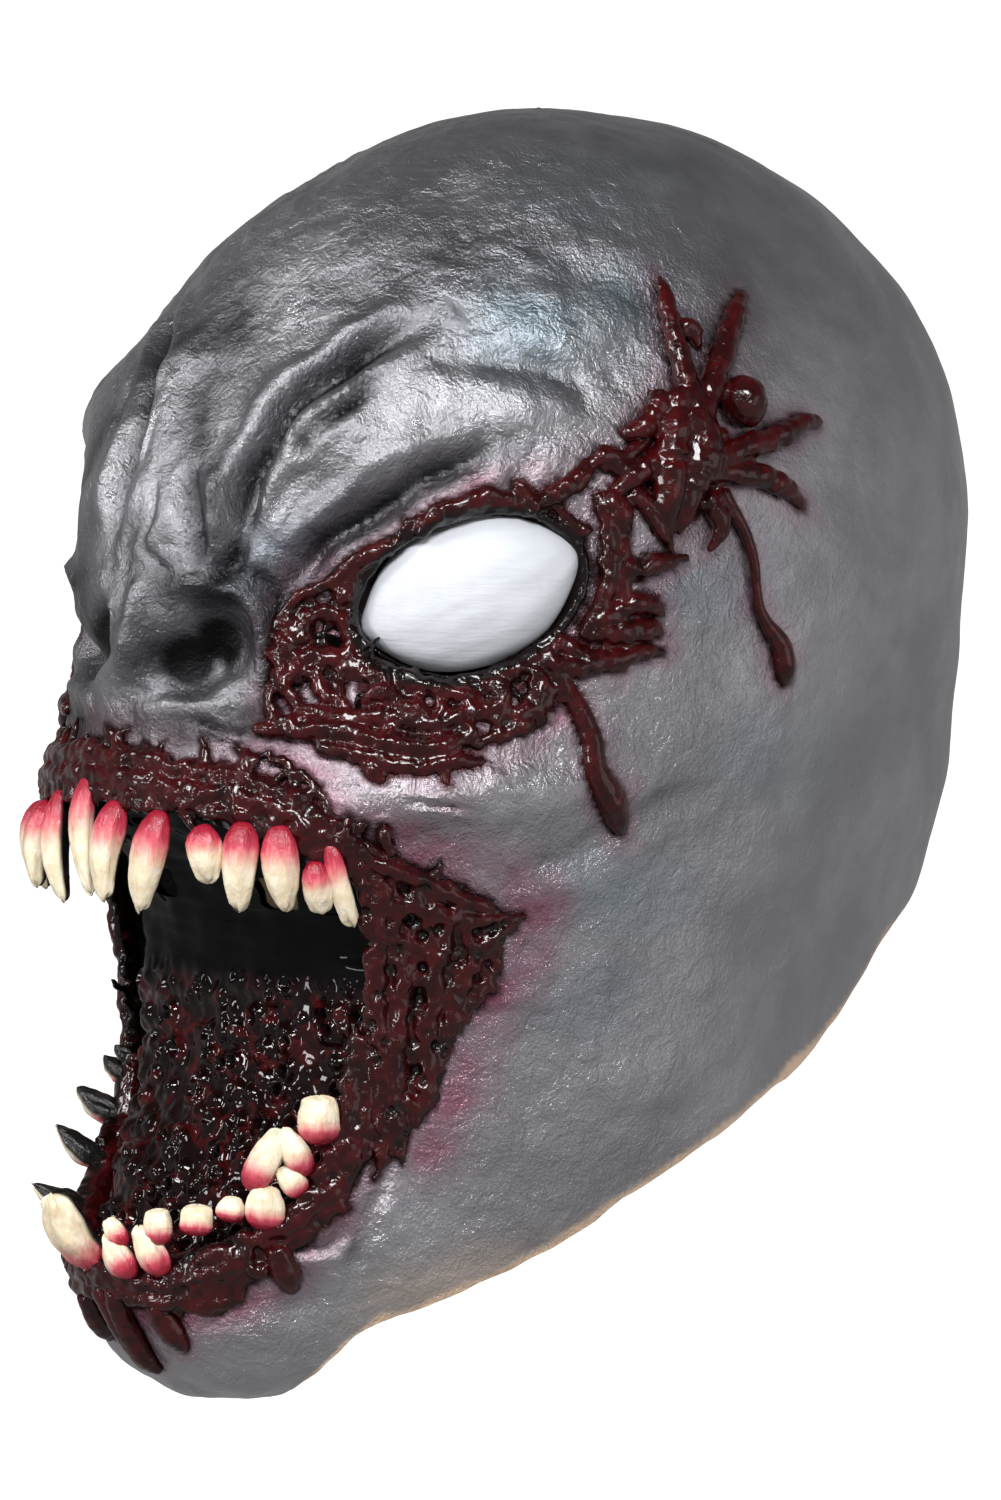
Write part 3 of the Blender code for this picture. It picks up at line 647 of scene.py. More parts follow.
def from_front(x, y, z):
    """A matrix that stands an outline upright at y, so that it is seen from the front."""
    return Matrix(((1, 0, 0, x), (0, 0, -1, y), (0, 1, 0, z), (0, 0, 0, 1)))


def skin_cutters():
    """What is cut out of the skin: the neck below the hem, the mouth, the eyes and the slots."""
    side_on = Matrix(((0, 0, 1, 0), (1, 0, 0, 0), (0, 1, 0, 0), (0, 0, 0, 1)))
    hem = [tuple(p) for p in smooth_line(HEM, 12)]
    hem = wavy(hem, 0.02, 0.0012, 21) + [HEM_FRONT, (0.20, -0.30)]
    found = [prism("neck_cutter", hem, 0.15, side_on)]
    place = from_front(0, -MOUTH_CUT_BACK - MOUTH_CUT_DEPTH, 0)
    mouth = wavy(mouth_loop(), 0.012, 0.0008, 23)
    found.append(prism("mouth_cutter", mouth, MOUTH_CUT_DEPTH, place))
    for side in (1, -1):
        half_x, half_y = EYE_HALF_LENGTH + EYE_CLEARANCE, EYE_HALF_HEIGHT + EYE_CLEARANCE
        rim = ellipse(half_x, half_y, 72, 0.01, 25)
        found.append(prism("eye_cutter", rim, 0.03, eye_place(side)))
        for a, z, half_x, half_y, turn in VISION_SLOTS:
            place = frame_at(a, z, side) @ Matrix.Rotation(math.radians(turn), 4, "Z")
            slot = ellipse(half_x / 1000, half_y / 1000, 20, 0.1, 27)
            found.append(prism("slot_cutter", slot, 0.012, place))
    return found


SKIN_WALL, BEHIND_WALL = 0.003, 0.0004


def latex_skin():
    """The sculpted skin, hollowed and cut open, and a tree of its hollow."""
    rows, columns = ((330, 390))
    grid, out = head_grid(rows, columns)
    flat, facing = grid.reshape(-1, 3), out.reshape(-1, 3)
    height = large_forms(flat)[0] + small_forms(flat)
    grid = (flat + facing * height[:, None]).reshape(grid.shape)
    skin = add("latex_skin", closed_head("latex_skin", grid, CROWN, CHIN))
    grid, out = head_grid(96, 120)
    flat, facing = grid.reshape(-1, 3), out.reshape(-1, 3)
    height = np.minimum(large_forms(flat, 1.7)[0] * 1.2, 0.0) - SKIN_WALL - BEHIND_WALL
    grid = (flat + facing * height[:, None]).reshape(grid.shape)
    poles = (0, 0, SKIN_WALL)
    inner = closed_head("inside", grid, CROWN - poles, CHIN + poles)
    hollow = tree_of(inner)
    skin = cut(skin, [add("inside", inner), *skin_cutters()])
    return skin, hollow


# ---------------------------------------------------------------- melted latex gore

BALL = bmesh.new()
bmesh.ops.create_icosphere(BALL, subdivisions=2, radius=1.0)
BALL_POINTS = np.array([v.co for v in BALL.verts])
BALL_FACES = [[v.index for v in f.verts] for f in BALL.faces]
BALL.free()


MOUTH_MIDDLE_A = -92  # places in front of this on the wearer's right aren't moved
RIGHT_SHIFT = 7  # how far the others move at the mouth's widest, in millimetres
TANGLE_REACH = 6.0  # about how far apart the corners of a tangled strand are
GORE_VOXEL, DRIP_VOXEL = 0.0007, 0.0006


class Clay:
    """Closed lumps and strands of latex that are melted together into one body."""

    def __init__(self, seed, side=1):
        self.random = np.random.default_rng(seed)
        self.side = side
        self.points, self.faces, self.count = [], [], 0

    def on_skin(self, a, z, lift):
        """The pressed place, moved clear of the wider mouth on the wearer's right."""
        if self.side < 0 and a > MOUTH_MIDDLE_A:
            a += RIGHT_SHIFT * float(step(-15, -42, a) * (right_wider(z / 1000) - 1) / RIGHT_WIDER)
        return pressed(a, z, lift, self.side)

    def put(self, points, faces):
        """Takes in one more closed body."""
        self.points.append(points)
        self.faces += [[i + self.count for i in f] for f in faces]
        self.count += len(points)

    def ball(self, centre, radius):
        """A ball or an ellipsoid."""
        self.put(np.array(centre) + BALL_POINTS * np.array(radius), BALL_FACES)

    def tube(self, line, radii, sides=10):
        """A round strand through the points of line, with closed ends."""
        tangent = unit(np.gradient(line, axis=0))
        across = unit(np.cross(tangent, (0.31, 0.17, 0.94)))
        upright = np.cross(tangent, across)
        turns = np.linspace(0, 2 * np.pi, sides, endpoint=False)
        ring = across[:, None] * np.cos(turns)[:, None] + upright[:, None] * np.sin(turns)[:, None]
        rows = line[:, None] + ring * np.array(radii)[:, None, None]
        last = (len(line) - 1) * sides
        ends = [list(range(sides))[::-1], list(range(last, last + sides))]
        self.put(rows.reshape(-1, 3), ring_faces(len(line), sides) + ends)

    def strand(self, places, lift=0.5, wobble=0.3, steps=6, uneven=0.055):
        """A strand lying on the skin through places (a, z, radius), all in millimetres."""
        fine = smooth_line(places, steps)
        fine[:, :2] += wobble * self.random.normal(size=(len(fine), 2))
        radii = np.maximum(fine[:, 2], 0.3) * (1 + uneven * self.random.normal(size=len(fine)))
        radii = np.clip(radii, 0.3, 9) / 1000
        line = [self.on_skin(a, z, r * lift) for (a, z, _), r in zip(fine, radii)]
        self.tube(np.array(line), radii)

    def fill(self, outline, gap, low, high, lift, holes):
        """Lumps of radius low to high inside an outline; holes is the share left out."""
        ring = np.array(outline, float)
        for a in np.arange(ring[:, 0].min(), ring[:, 0].max(), gap):
            for z in np.arange(ring[:, 1].min(), ring[:, 1].max(), gap):
                x, y = np.array([a, z]) + gap * self.random.uniform(-0.45, 0.45, 2)
                if not encloses(ring, x, y) or self.random.uniform() < holes:
                    continue
                r = self.random.uniform(low, high) / 1000
                self.ball(self.on_skin(x, y, r * lift), (r, r, r))

    def tangle(self, outline, count, low, high, slope=0.0):
        """Short crooked strands of radius low to high scattered inside an outline."""
        ring = np.array(outline, float)
        while count:
            x, y = self.random.uniform(ring.min(0), ring.max(0))
            if not encloses(ring, x, y):
                continue
            count -= 1
            way = slope + self.random.normal(0, 0.6)
            stride = TANGLE_REACH * self.random.uniform(0.25, 0.6)
            places, thick = [], self.random.uniform(low, high)
            for share in (0.35, 0.9, 1.0, 0.8, 0.3):
                places.append((x, y, thick * share))
                x, y = x + stride * math.cos(way), y + stride * math.sin(way)
                way += self.random.normal(0, 0.5)
            self.strand(places, self.random.uniform(0.2, 1.1), 0.15, 4)

    def melt(self, voxel, smooth=2):
        """One closed mesh of everything put in, melted together."""
        mesh = bpy.data.meshes.new("clay")
        mesh.from_pydata(np.vstack(self.points).tolist(), [], self.faces)
        obj = add("clay", mesh)
        melted = obj.modifiers.new("melt", "REMESH")
        melted.mode = "VOXEL"
        melted.voxel_size = voxel * 1
        soft = obj.modifiers.new("soft", "SMOOTH")
        soft.iterations = smooth
        soft.factor = 0.5
        return evaluated(obj)


def encloses(ring, x, y):
    """Whether a closed outline goes round a point."""
    nearer = np.roll(ring, -1, axis=0)
    crosses = (ring[:, 1] > y) != (nearer[:, 1] > y)
    rise = np.where(nearer[:, 1] == ring[:, 1], 1, nearer[:, 1] - ring[:, 1])
    meets = ring[:, 0] + (nearer[:, 0] - ring[:, 0]) / rise * (y - ring[:, 1])
    return np.sum(crosses & (x < meets)) % 2 == 1


GORE_TREES = []


def finish_gore(name, mesh, seed, pits, look, pit_size=0.0042, black=0.0, rough_by=0.34):
    """Roughens a melted mass, opens pits in it, and records where shade is painted on it."""
    p, out = coordinates(mesh), normals(mesh)
    first, second = cells(p, pit_size, seed)
    hollow = step(0.40, 0.14, first)
    wall = step(0.22, 0.0, second - first)
    worn = rough_by * rough(p, 0.0050, seed + 1, 2) + 0.04 * noise(p, 0.0016, seed + 2)
    above = np.array([BASE_TREE.find_nearest(Vector(q))[3] for q in p.tolist()])
    height = worn / 1000 + pits * (0.35 * wall - hollow) / 1000
    move_points(mesh, p + out * height[:, None])
    mesh.shade_smooth()
    obj = add(name, mesh, look)
    # Painted shade where the gore meets the skin, in its pits and in its dips.
    low = step(0.0022, 0.0006, above + 0.0006 * noise(p, 0.004, seed + 3))
    low = low * step(0.2, 0.5, np.array(pits))
    shade_and_seal_black = np.clip(hollow * min(1, pits) + 0.35 * step(0.1, -0.4, worn) + 0.9 * low, 0, 1)
    # The black ring at the eye is added as black paint.
    store(mesh, "shade_and_seal_black", np.maximum(shade_and_seal_black, black))
    GORE_TREES.append(tree_of(mesh))
    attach(obj, "root")
    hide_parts(name)


def store(mesh, name, values):
    """Keeps a number for every point, for the materials to read."""
    layer = mesh.attributes.new(name, "FLOAT", "POINT")
    layer.data.foreach_set("value", np.asarray(values, np.float32))


# Strands round the eye: places (a, z, radius) in millimetres.
EYE_STRANDS = [
    [(-63, -8.5, 0.8), (-60.5, -6.5, 1.8), (-55.5, -2, 2.4), (-49.5, 0, 2.6), (-42.5, 3.5, 1.8)],
    [
        (-38, 4.5, 1.8), (-36, 8, 2.6), (-32, 11.5, 3.0), (-27, 12.5, 3.0), (-18, 16, 2.8),
        (-15.5, 12.5, 2.2),
    ],
    [(-11, 19, 1.8), (-8, 14, 2.6), (-6, 11, 2.4)],
    [(-6, 14.5, 2.4), (1, 16.5, 3.2), (6.5, 20, 3.0), (7.5, 24.5, 2.0)],
    [(8, 23, 2.0), (12.5, 26, 2.8), (19.5, 21.5, 3.0), (29, 20.5, 2.6)],
    [(14, 17, 2.2), (15, 13, 3.2), (17, 9, 3.4), (18, 3.5, 2.0)],
    [(19, 16, 2.4), (21, 14.5, 2.6), (27.5, 10, 2.6), (32, 4, 1.0)],
    [(11, -3.5, 1.6), (15, -4, 2.6), (21.5, -5, 3.0), (29, -3.5, 2.4), (36, -3, 0.9)],
    [(12, -7, 1.6), (15, -7, 2.4), (23.5, -7.5, 1.6)],
    [(6, -22, 1.8), (8, -21, 2.6), (15, -17, 3.2), (23.5, -15, 2.8), (30, -18, 1.2)],
    [(6.5, -22, 2.6), (15, -22.5, 3.2), (25, -22, 2.6), (29, -23, 1.0)],
    [(-4.5, -30, 2.2), (5.5, -32, 3.2), (15, -30, 3.2), (23.5, -28.5, 2.2), (29.5, -28.5, 0.8)],
    [(-0.5, -24, 2.0), (6.5, -28.5, 2.6), (18, -31.5, 2.4)],
    [(-34, -56, 2.0), (-31, -62, 2.4), (-29, -69.5, 1.4)],
    [
        (-83, -48.5, 1.6), (-74.5, -49, 2.6), (-67.5, -48.5, 2.8), (-57.5, -49, 3.0),
        (-49.5, -51.5, 3.0), (-41, -53, 3.0), (-32.5, -53, 2.8), (-22.5, -49.5, 2.2),
    ],
    [
        (-66, -53.5, 2.0), (-55, -54.5, 2.6), (-45, -57.5, 2.8), (-35.5, -58.5, 2.8),
        (-27, -56.5, 2.4), (-20, -58, 1.4),
    ],
    [
        (-69, -43.5, 2.0), (-60.5, -45, 2.6), (-46.5, -45.5, 2.6), (-36.5, -47, 2.6),
        (-27, -45.5, 2.6), (-20, -43, 2.6), (-13, -44, 2.0),
    ],
    [
        (-60.5, -33.5, 2.0), (-52, -31.5, 2.4), (-42.5, -34.5, 2.8), (-34, -37.5, 2.8),
        (-24, -39.5, 2.4),
    ],
    [(-50.5, -32, 1.8), (-49.5, -37.5, 2.2), (-50, -44, 2.0)],
    [(-42.5, -37.5, 1.8), (-41.5, -42.5, 2.0)],
    [(-32.5, -37.5, 2.0), (-32, -45.5, 2.4), (-32.5, -51, 2.2)],
    [(-17, -35, 2.4), (-15.5, -40.5, 3.0), (-17, -45.5, 2.4), (-13, -50, 1.4)],
    [(-7.5, -32, 2.4), (-4.5, -38, 3.2), (-8.5, -43, 2.6), (-13, -47, 2.0)],
    [
        (-74.5, -17, 1.8), (-72.5, -22.5, 2.2), (-67.5, -17, 2.4), (-62, -16.5, 2.4),
        (-56.5, -22.5, 2.4), (-53, -28, 2.4),
    ],
    [(-74.5, -24, 2.0), (-76, -31, 2.4), (-74.5, -37.5, 2.2), (-70.5, -43, 2.0)],
    [(-64.5, -29.5, 2.0), (-66, -35, 2.4), (-62, -41.5, 2.2)],
    [(-80, -28, 1.4), (-74.5, -29.5, 2.2), (-64.5, -28, 2.4), (-57.5, -29.5, 2.0)],
    [(-78, -20, 1.0), (-72, -13, 1.8), (-66, -10, 2.0), (-61, -9, 1.4)],
    [(-58, -12, 1.6), (-57, -20, 2.2), (-56, -30, 2.4), (-50, -31, 2.0)],
    [(-60, -36, 2.0), (-58, -44, 2.4), (-56, -50, 2.4)],
    [(-24, -38, 2.0), (-25, -46, 2.4), (-28, -53, 2.2)],
    [(-45, -47, 1.8), (-46, -53, 2.2), (-44, -58, 1.8)],
    [(-80, -36, 1.4), (-78, -43, 2.0), (-76, -49, 2.2)],
    [(-4, -30, 2.0), (1, -36, 2.8), (2, -42, 2.0)],
    [(10, 15, 1.8), (13.5, 7, 2.8), (14, -4, 3.0), (12, -14, 2.6), (7, -23, 2.2)],
    [(16, 8, 1.2), (18, 0, 2.2), (18, -10, 2.4), (16, -20, 2.2), (12, -27, 1.6)],
]
# The band of torn latex below and in front of the eye.
EYE_BAND = [
    (-80, -22), (-72, -12), (-62, -10), (-57, -20), (-52, -30), (-40, -37), (-26, -38), (-12, -35),
    (0, -30), (4, -34), (0, -42), (-6, -48), (-20, -54), (-32, -58), (-46, -58), (-60, -54),
    (-80, -50),
]
EYE_DRIP = [
    (1, -35.5, 2.4), (5.5, -43.5, 3.0), (9, -52, 3.4), (10, -60.5, 3.6), (13.5, -68, 4.6),
    (16, -74, 3.6), (17.5, -79, 1.6),
]

TEMPLE = [(27, 42), (40, 40), (46, 30), (45, 14), (36, 6), (28, 8), (25, 28)]
TEMPLE_STRANDS = [
    [(40.5, 30, 4.0), (34.5, 44, 3.8), (31.5, 57.5, 3.0), (29, 68.5, 2.2), (28.5, 73, 0.8)],
    [(37.5, 33, 3.2), (41.5, 43.5, 3.9), (46.5, 57, 3.6), (49.5, 64.5, 2.4), (51, 68.5, 0.9)],
    [(40.5, 23, 3.8), (51.5, 26.5, 3.7), (61.5, 29.5, 3.3), (67, 32.5, 2.8), (72.5, 32, 1.4)],
    [(40.5, 20.5, 3.2), (53, 19, 3.5), (61.5, 15, 3.2), (68, 9.5, 1.0)],
    [(37.5, 30.5, 5.0), (36, 19.5, 5.0), (34.5, 9.5, 3.2), (32.5, 3.5, 1.0)],
    [(32, 41.5, 4.0), (30.5, 28, 5.2), (29, 14, 4.4), (30.5, 4.5, 1.4)],
    [(40.5, 13.5, 3.2), (44.5, 5, 2.8), (41.5, -1.5, 1.0)],
    [(42.5, 13.5, 2.6), (50, 7, 1.0)],
    [(32.5, 55, 1.0), (36, 59.5, 2.4), (39, 53.5, 1.0)],
    [(27.5, 41.5, 3.2), (23.5, 33.5, 3.6), (18, 31, 2.0)],
    [(28, 24, 3.4), (20, 20, 3.2), (13.5, 13, 1.8)],
    [(34, 36, 4.8), (39, 28, 5.6), (38, 18, 4.6)],
    [(24, 12, 2.4), (30, 2, 1.6), (33, -3, 0.7)],
]
TEMPLE_DRIP = [
    (45, 15, 2.4), (53, 0, 1.7), (55.5, -15.5, 1.5), (57, -21, 1.9), (61.5, -28.5, 3.0),
    (62.5, -35.5, 3.2), (63, -40, 1.3),
]

CHEEK = [
    (-62, -74), (-55, -78), (-43.5, -84), (-29.5, -92), (-20, -97), (-12, -100.5), (-11, -104),
    (-16, -114), (-19, -122.5), (-26, -129), (-30, -139.5), (-34, -147.5), (-37.5, -157),
    (-41, -160), (-43.5, -166), (-45, -160), (-46, -147.5), (-47, -124.5), (-47, -104.5),
    (-50, -94), (-56, -84),
]
CHEEK_STRANDS = [
    [
        (-45, -101.5, 2.4), (-43, -124.5, 2.8), (-45, -141.5, 3.0), (-45, -158.5, 2.6),
        (-42.5, -170, 1.0),
    ],
    [
        (-35.5, -96, 2.2), (-34.5, -113.5, 2.6), (-35.5, -130.5, 2.6), (-36.5, -147.5, 2.4),
        (-40.5, -160, 1.0),
    ],
    [(-27, -96.5, 2.0), (-24, -111, 2.4), (-28.5, -125, 2.6), (-32.5, -139, 2.6), (-36, -157, 1.0)],
    [
        (-13, -102.5, 1.8), (-18.5, -105.5, 2.4), (-24, -113.5, 2.6), (-29.5, -122, 2.2),
        (-35.5, -127.5, 1.4),
    ],
    [(-9, -101, 0.9), (-15.5, -102, 2.0), (-27, -100.5, 2.6), (-38, -97.5, 2.6), (-48, -96, 2.4)],
    [(-60, -75.5, 1.8), (-51, -83, 2.4), (-40, -88.5, 2.6), (-24, -96, 2.0), (-14, -100.5, 1.0)],
    [(-15, -108, 1.0), (-19, -118, 2.2), (-26, -127, 2.2), (-31, -137, 2.0), (-34, -151, 1.0)],
    [(-45, -110, 2.2), (-38, -118, 2.0), (-33, -116, 1.8)],
    [(-44, -134, 2.2), (-37, -139, 2.0), (-33, -134, 1.6)],
    [(-30, -104, 1.8), (-37, -108, 2.0), (-44, -106, 2.0)],
]
CHEEK_RIM = [
    [
        (-49, -90, 2.4), (-49, -108, 2.8), (-49, -128, 2.8), (-48.5, -146, 2.6), (-48, -162, 2.2),
        (-50, -174, 1.6),
    ],
    [
        (-55, -85, 2.0), (-52, -98, 2.2), (-51.5, -118, 2.2), (-51, -136, 2.2), (-51, -152, 2.0),
        (-53, -166, 1.6),
    ],
]
UPPER_LIP_TOP = [
    (-127, -56), (-120, -56), (-112, -58), (-105, -59), (-97, -58.5), (-88, -60), (-82, -62),
    (-75, -67), (-68, -71), (-61, -74), (-54, -79.5), (-50, -84),
]
UPPER_LIP_LOW = [
    (-130, -68.5), (-120, -69), (-112, -70), (-105, -70.5), (-92.5, -71), (-78, -72.5), (-70, -76),
    (-61, -80), (-56, -85), (-51.5, -91),
]
LOWER_LIP_TOP = [
    (-129, -199), (-117, -203), (-106, -200.5), (-94.5, -193.5), (-85.5, -190.5), (-74.5, -183),
    (-67, -174.5), (-62.5, -168), (-59, -156), (-56.5, -143), (-55, -134),
]
LOWER_LIP_LOW = [
    (-130, -202.5), (-117, -206), (-99, -206.5), (-89, -204.5), (-85, -197), (-82, -190.5),
    (-72.5, -183), (-63.5, -175.5), (-58, -167.5), (-55, -160), (-53, -148), (-51.5, -134),
]
UPPER_STRANDS = [
    [
        (-128, -56, 2.0), (-120, -58, 2.6), (-113, -57.5, 2.4), (-104, -60, 2.8), (-96, -60.5, 2.4),
        (-88, -61.5, 2.6), (-78, -65, 2.4), (-68, -71, 2.4), (-58, -77, 2.2),
    ],
    [
        (-127, -64, 2.6), (-117, -63.5, 2.8), (-108, -65, 2.8), (-98, -66, 2.8), (-88, -66.5, 2.6),
        (-77, -70, 2.6), (-67, -75.5, 2.4), (-57, -82, 2.0),
    ],
    [(-124, -50.5, 0.8), (-122, -55, 1.8), (-119, -62, 2.4)],
    [(-113, -53, 0.8), (-111, -57, 1.8), (-108, -64, 2.4)],
    [(-97, -52, 0.7), (-96, -56, 1.4), (-93, -64, 2.2)],
    [(-88, -53.5, 0.8), (-86, -58, 1.6), (-87, -64, 2.2)],
    [(-81, -54.5, 1.2), (-72, -59.5, 1.6), (-66, -64, 1.4), (-62, -71, 1.6)],
]
LOWER_STRANDS = [
    [
        (-126, -203.5, 2.0), (-117, -207, 2.4), (-105, -207, 2.8), (-95, -207.5, 2.6),
        (-87, -205, 2.2),
    ],
    [(-120, -202, 2.0), (-108, -202.5, 2.4), (-98, -200, 2.6), (-88, -197, 2.4), (-83, -191, 2.2)],
    [
        (-81, -189.5, 2.6), (-71.5, -183.5, 2.6), (-62.5, -176, 2.4), (-57, -168.5, 2.4),
        (-53.5, -160.5, 2.2), (-51.5, -148, 2.2), (-50.5, -134, 1.6),
    ],
    [(-66, -172, 2.2), (-61, -164, 2.2), (-58, -152, 2.2), (-55, -138, 1.6)],
]
DRIPS = {
    "chin_drip_front": [
        (-125.5, -205, 3.4), (-121.5, -212, 3.8), (-117.5, -219, 3.8), (-114, -225.5, 3.2),
        (-112, -229.5, 1.6),
    ],
    "chin_drip_middle": [
        (-110.5, -208, 3.4), (-107.5, -213.5, 4.0), (-104.5, -218, 3.8), (-102, -221.5, 2.2),
    ],
    "chin_drip_side": [
        (-77.5, -191.5, 3.6), (-76, -196, 4.2), (-74.5, -200, 4.0), (-72.5, -204, 2.2),
    ],
}


def rim_place(turn, reach):
    """(a, z) at an angle from the back round the eye, reach eye sizes out."""
    x = EYE_LONG * math.cos(turn - EYE_TILT) * reach
    y = EYE_HIGH * math.sin(turn - EYE_TILT) * reach
    sine, cosine = math.sin(EYE_TILT), math.cos(EYE_TILT)
    return EYE_A + x * cosine - y * sine, EYE_Z + x * sine + y * cosine


# The black ring that seals the eye to the skin, and where round the eye the lid's strands are.
SEAL_POINTS, SEAL_RADIUS, SEAL_SINK = 60, 0.0018, 0.0005
LID_TURNS = [(0.5, 1.9), (2.0, 3.0), (3.1, 4.3), (4.5, 5.6)]


def eye_gore(name, side, seed, look):
    """The torn strands round one eye, with the black ring at its rim."""
    clay = Clay(seed, side)
    for places in EYE_STRANDS:
        clay.strand(places)
    clay.fill(EYE_BAND, 3.2, 1.2, 2.2, 0.0, 0.35)
    clay.tangle(EYE_BAND, 42, 1.2, 2.7)
    for reach, deep in ((1.045, 0.0), (1.03, -2.2)):
        ring = [(*rim_place(t, reach), 1.4) for t in np.linspace(0, 2 * math.pi, 48)]
        clay.strand(ring, deep, 0.1, 2)
    seal = []
    for t in np.linspace(0, 2 * math.pi, SEAL_POINTS):
        x, y = 1.045 * EYE_HALF_LENGTH * math.cos(t), 1.06 * EYE_HALF_HEIGHT * math.sin(t)
        y *= 1 - EYE_POINTED * math.cos(t) ** 4
        seal.append(eye_place(side) @ Vector((x, y, -SEAL_SINK)))
    clay.tube(np.array(seal), np.full(SEAL_POINTS, SEAL_RADIUS))
    for start, end in LID_TURNS:
        turns = np.linspace(start, end, 7)
        reaches, radii = 1.17 + 0.03 * np.sin(7 * turns), 1.9 + 0.6 * np.sin(5 * turns)
        places = [(*rim_place(t, reach), radius) for t, reach, radius in zip(turns, reaches, radii)]
        clay.strand(places, 0.3, 0.5)
    if side > 0:
        clay.strand([(12, 22, 1.8), (19, 26, 2.4), (26, 32, 2.0)])
    mesh = clay.melt(GORE_VOXEL)
    black = step(1.14, 1.07, eye_ring(coordinates(mesh))[0])
    finish_gore(name, mesh, seed, 0.45, look, 0.0048, black)


def cheek_gore(name, side, seed, look):
    """The torn, pitted patch from the eye to the corner of the mouth."""
    clay = Clay(seed, side)
    clay.fill(CHEEK, 2.6, 1.3, 2.2, 0.1, 0.1)
    clay.tangle(CHEEK, 40, 1.0, 2.4, math.pi / 2)
    for places in CHEEK_STRANDS + (CHEEK_RIM if side > 0 else []):
        clay.strand(places, 0.5, 0.4)
    finish_gore(name, clay.melt(GORE_VOXEL), seed, 1.2, look, 0.0058)


def temple_wound(look):
    """The star of strands with a round lump in the left temple."""
    clay = Clay(31)
    for places in TEMPLE_STRANDS:
        clay.strand(places, 0.7, 0.25)
    clay.ball(pressed(50, 38.5, 0.0028), (0.0072, 0.0070, 0.0076))
    clay.fill(TEMPLE, 2.8, 1.4, 2.6, 0.3, 0.1)
    finish_gore("temple_wound_left", clay.melt(GORE_VOXEL), 31, 0.0, look, 0.006)


def drip(name, places, side, seed, look):
    """One smooth run of latex blood."""
    clay = Clay(seed, side)
    clay.strand(places, 0.35, 0.05, 6, 0.015)
    finish_gore(name, clay.melt(DRIP_VOXEL, 4), seed, 0.0, look, rough_by=0.10)


LIP_END_RIGHT = -62  # the gore on the wearer's right stops here, short of the corner
UPPER_GUM_RADIUS, LOWER_GUM_RADIUS = 0.0046, 0.0044
GUM_DEEPER = 0.0055  # how much further from the teeth's tips the gum's second strand is


def lip(name, gum_line, radius, top, low, strands, seed, look):
    """A gum with the gore on it, from one corner of the mouth to the other."""
    clay = Clay(seed)
    half = smooth_line(gum_line, 5)
    arch = [gum_place(-x * right_wider(z), z) for x, z in half[:0:-1]]
    arch = np.array(arch + [gum_place(x, z) for x, z in half])
    radii = radius * (1 + 0.05 * clay.random.normal(size=len(arch)))
    deeper = GUM_DEEPER if name == "upper_gum" else -GUM_DEEPER
    clay.tube(arch, radii, 14)
    clay.tube(arch + (0, 0.0015, deeper), radii, 14)
    upper, lower = smooth_line(top, 5), smooth_line(low, 5)
    shares = np.linspace(0, 1, min(len(upper), len(lower)) * 4)
    upper, lower = (
        np.array([np.interp(shares, np.linspace(0, 1, len(line)), line[:, k]) for k in (0, 1)]).T
        for line in (upper, lower)
    )
    for side in (1, -1):
        clay.side = side
        for share in np.linspace(0, 1, 5):
            for a, z in (upper * (1 - share) + lower * share)[::3]:
                if clay.random.uniform() < 0.25 or (side < 0 and a > LIP_END_RIGHT):
                    continue
                r = clay.random.uniform(1.5, 2.6) / 1000
                place = (a + 0.8 * clay.random.normal(), z + 0.5 * clay.random.normal())
                clay.ball(clay.on_skin(*place, r * 0.25), (r, r, r))
        keep = slice(None) if side > 0 else upper[:, 0] < LIP_END_RIGHT
        clay.tangle([*upper[keep][::3], *lower[keep][::-3]], 46, 0.9, 2.2)
        for places in strands:
            places = [place for place in places if side > 0 or place[0] < LIP_END_RIGHT]
            if len(places) > 2:
                clay.strand(places, 0.5, 0.5)
    finish_gore(name, clay.melt(GORE_VOXEL), seed, 0.6, look, 0.0055)


# ---------------------------------------------------------------- gums and teeth

GUM_INSET = 0.0036  # how far the middle of the gum is behind the front of the skin
# Half of each gum seen from the front, as x and z.
UPPER_GUM = [
    (0.0, -0.0660), (0.015, -0.0665), (0.030, -0.0690), (0.042, -0.0725), (0.052, -0.0770),
    (0.059, -0.0825), (0.0625, -0.0880),
]
LOWER_GUM = [
    (0.0, -0.2015), (0.012, -0.2005), (0.024, -0.1985), (0.034, -0.1945), (0.041, -0.1890),
    (0.0462, -0.1820), (0.0522, -0.1710), (0.0565, -0.1500),
]


def level_at(z):
    """s where the face's section is at height z."""
    low, high = 0.0, float(LAST)
    for _ in range(40):
        middle = (low + high) / 2
        if section_at(np.array(middle))[0] > z:
            low = middle
        else:
            high = middle
    return low


def face_front(x, z):
    """How far forward the plain head is at (x, z), seen from the front."""
    _, front, _, width, widest, square = section_at(np.array(level_at(z)))
    return widest + (front - widest) * (1 - abs(x / width) ** square) ** (1 / square)


def gum_place(x, z):
    """The middle of a gum at (x, z)."""
    return x, face_front(x, z) + GUM_INSET, z


def gum_height(gum, x):
    """z of a gum at x."""
    for (x0, z0), (x1, z1) in zip(gum, gum[1:]):
        if x <= x1:
            return z0 + (z1 - z0) * (x - x0) / (x1 - x0)
    return gum[-1][1]


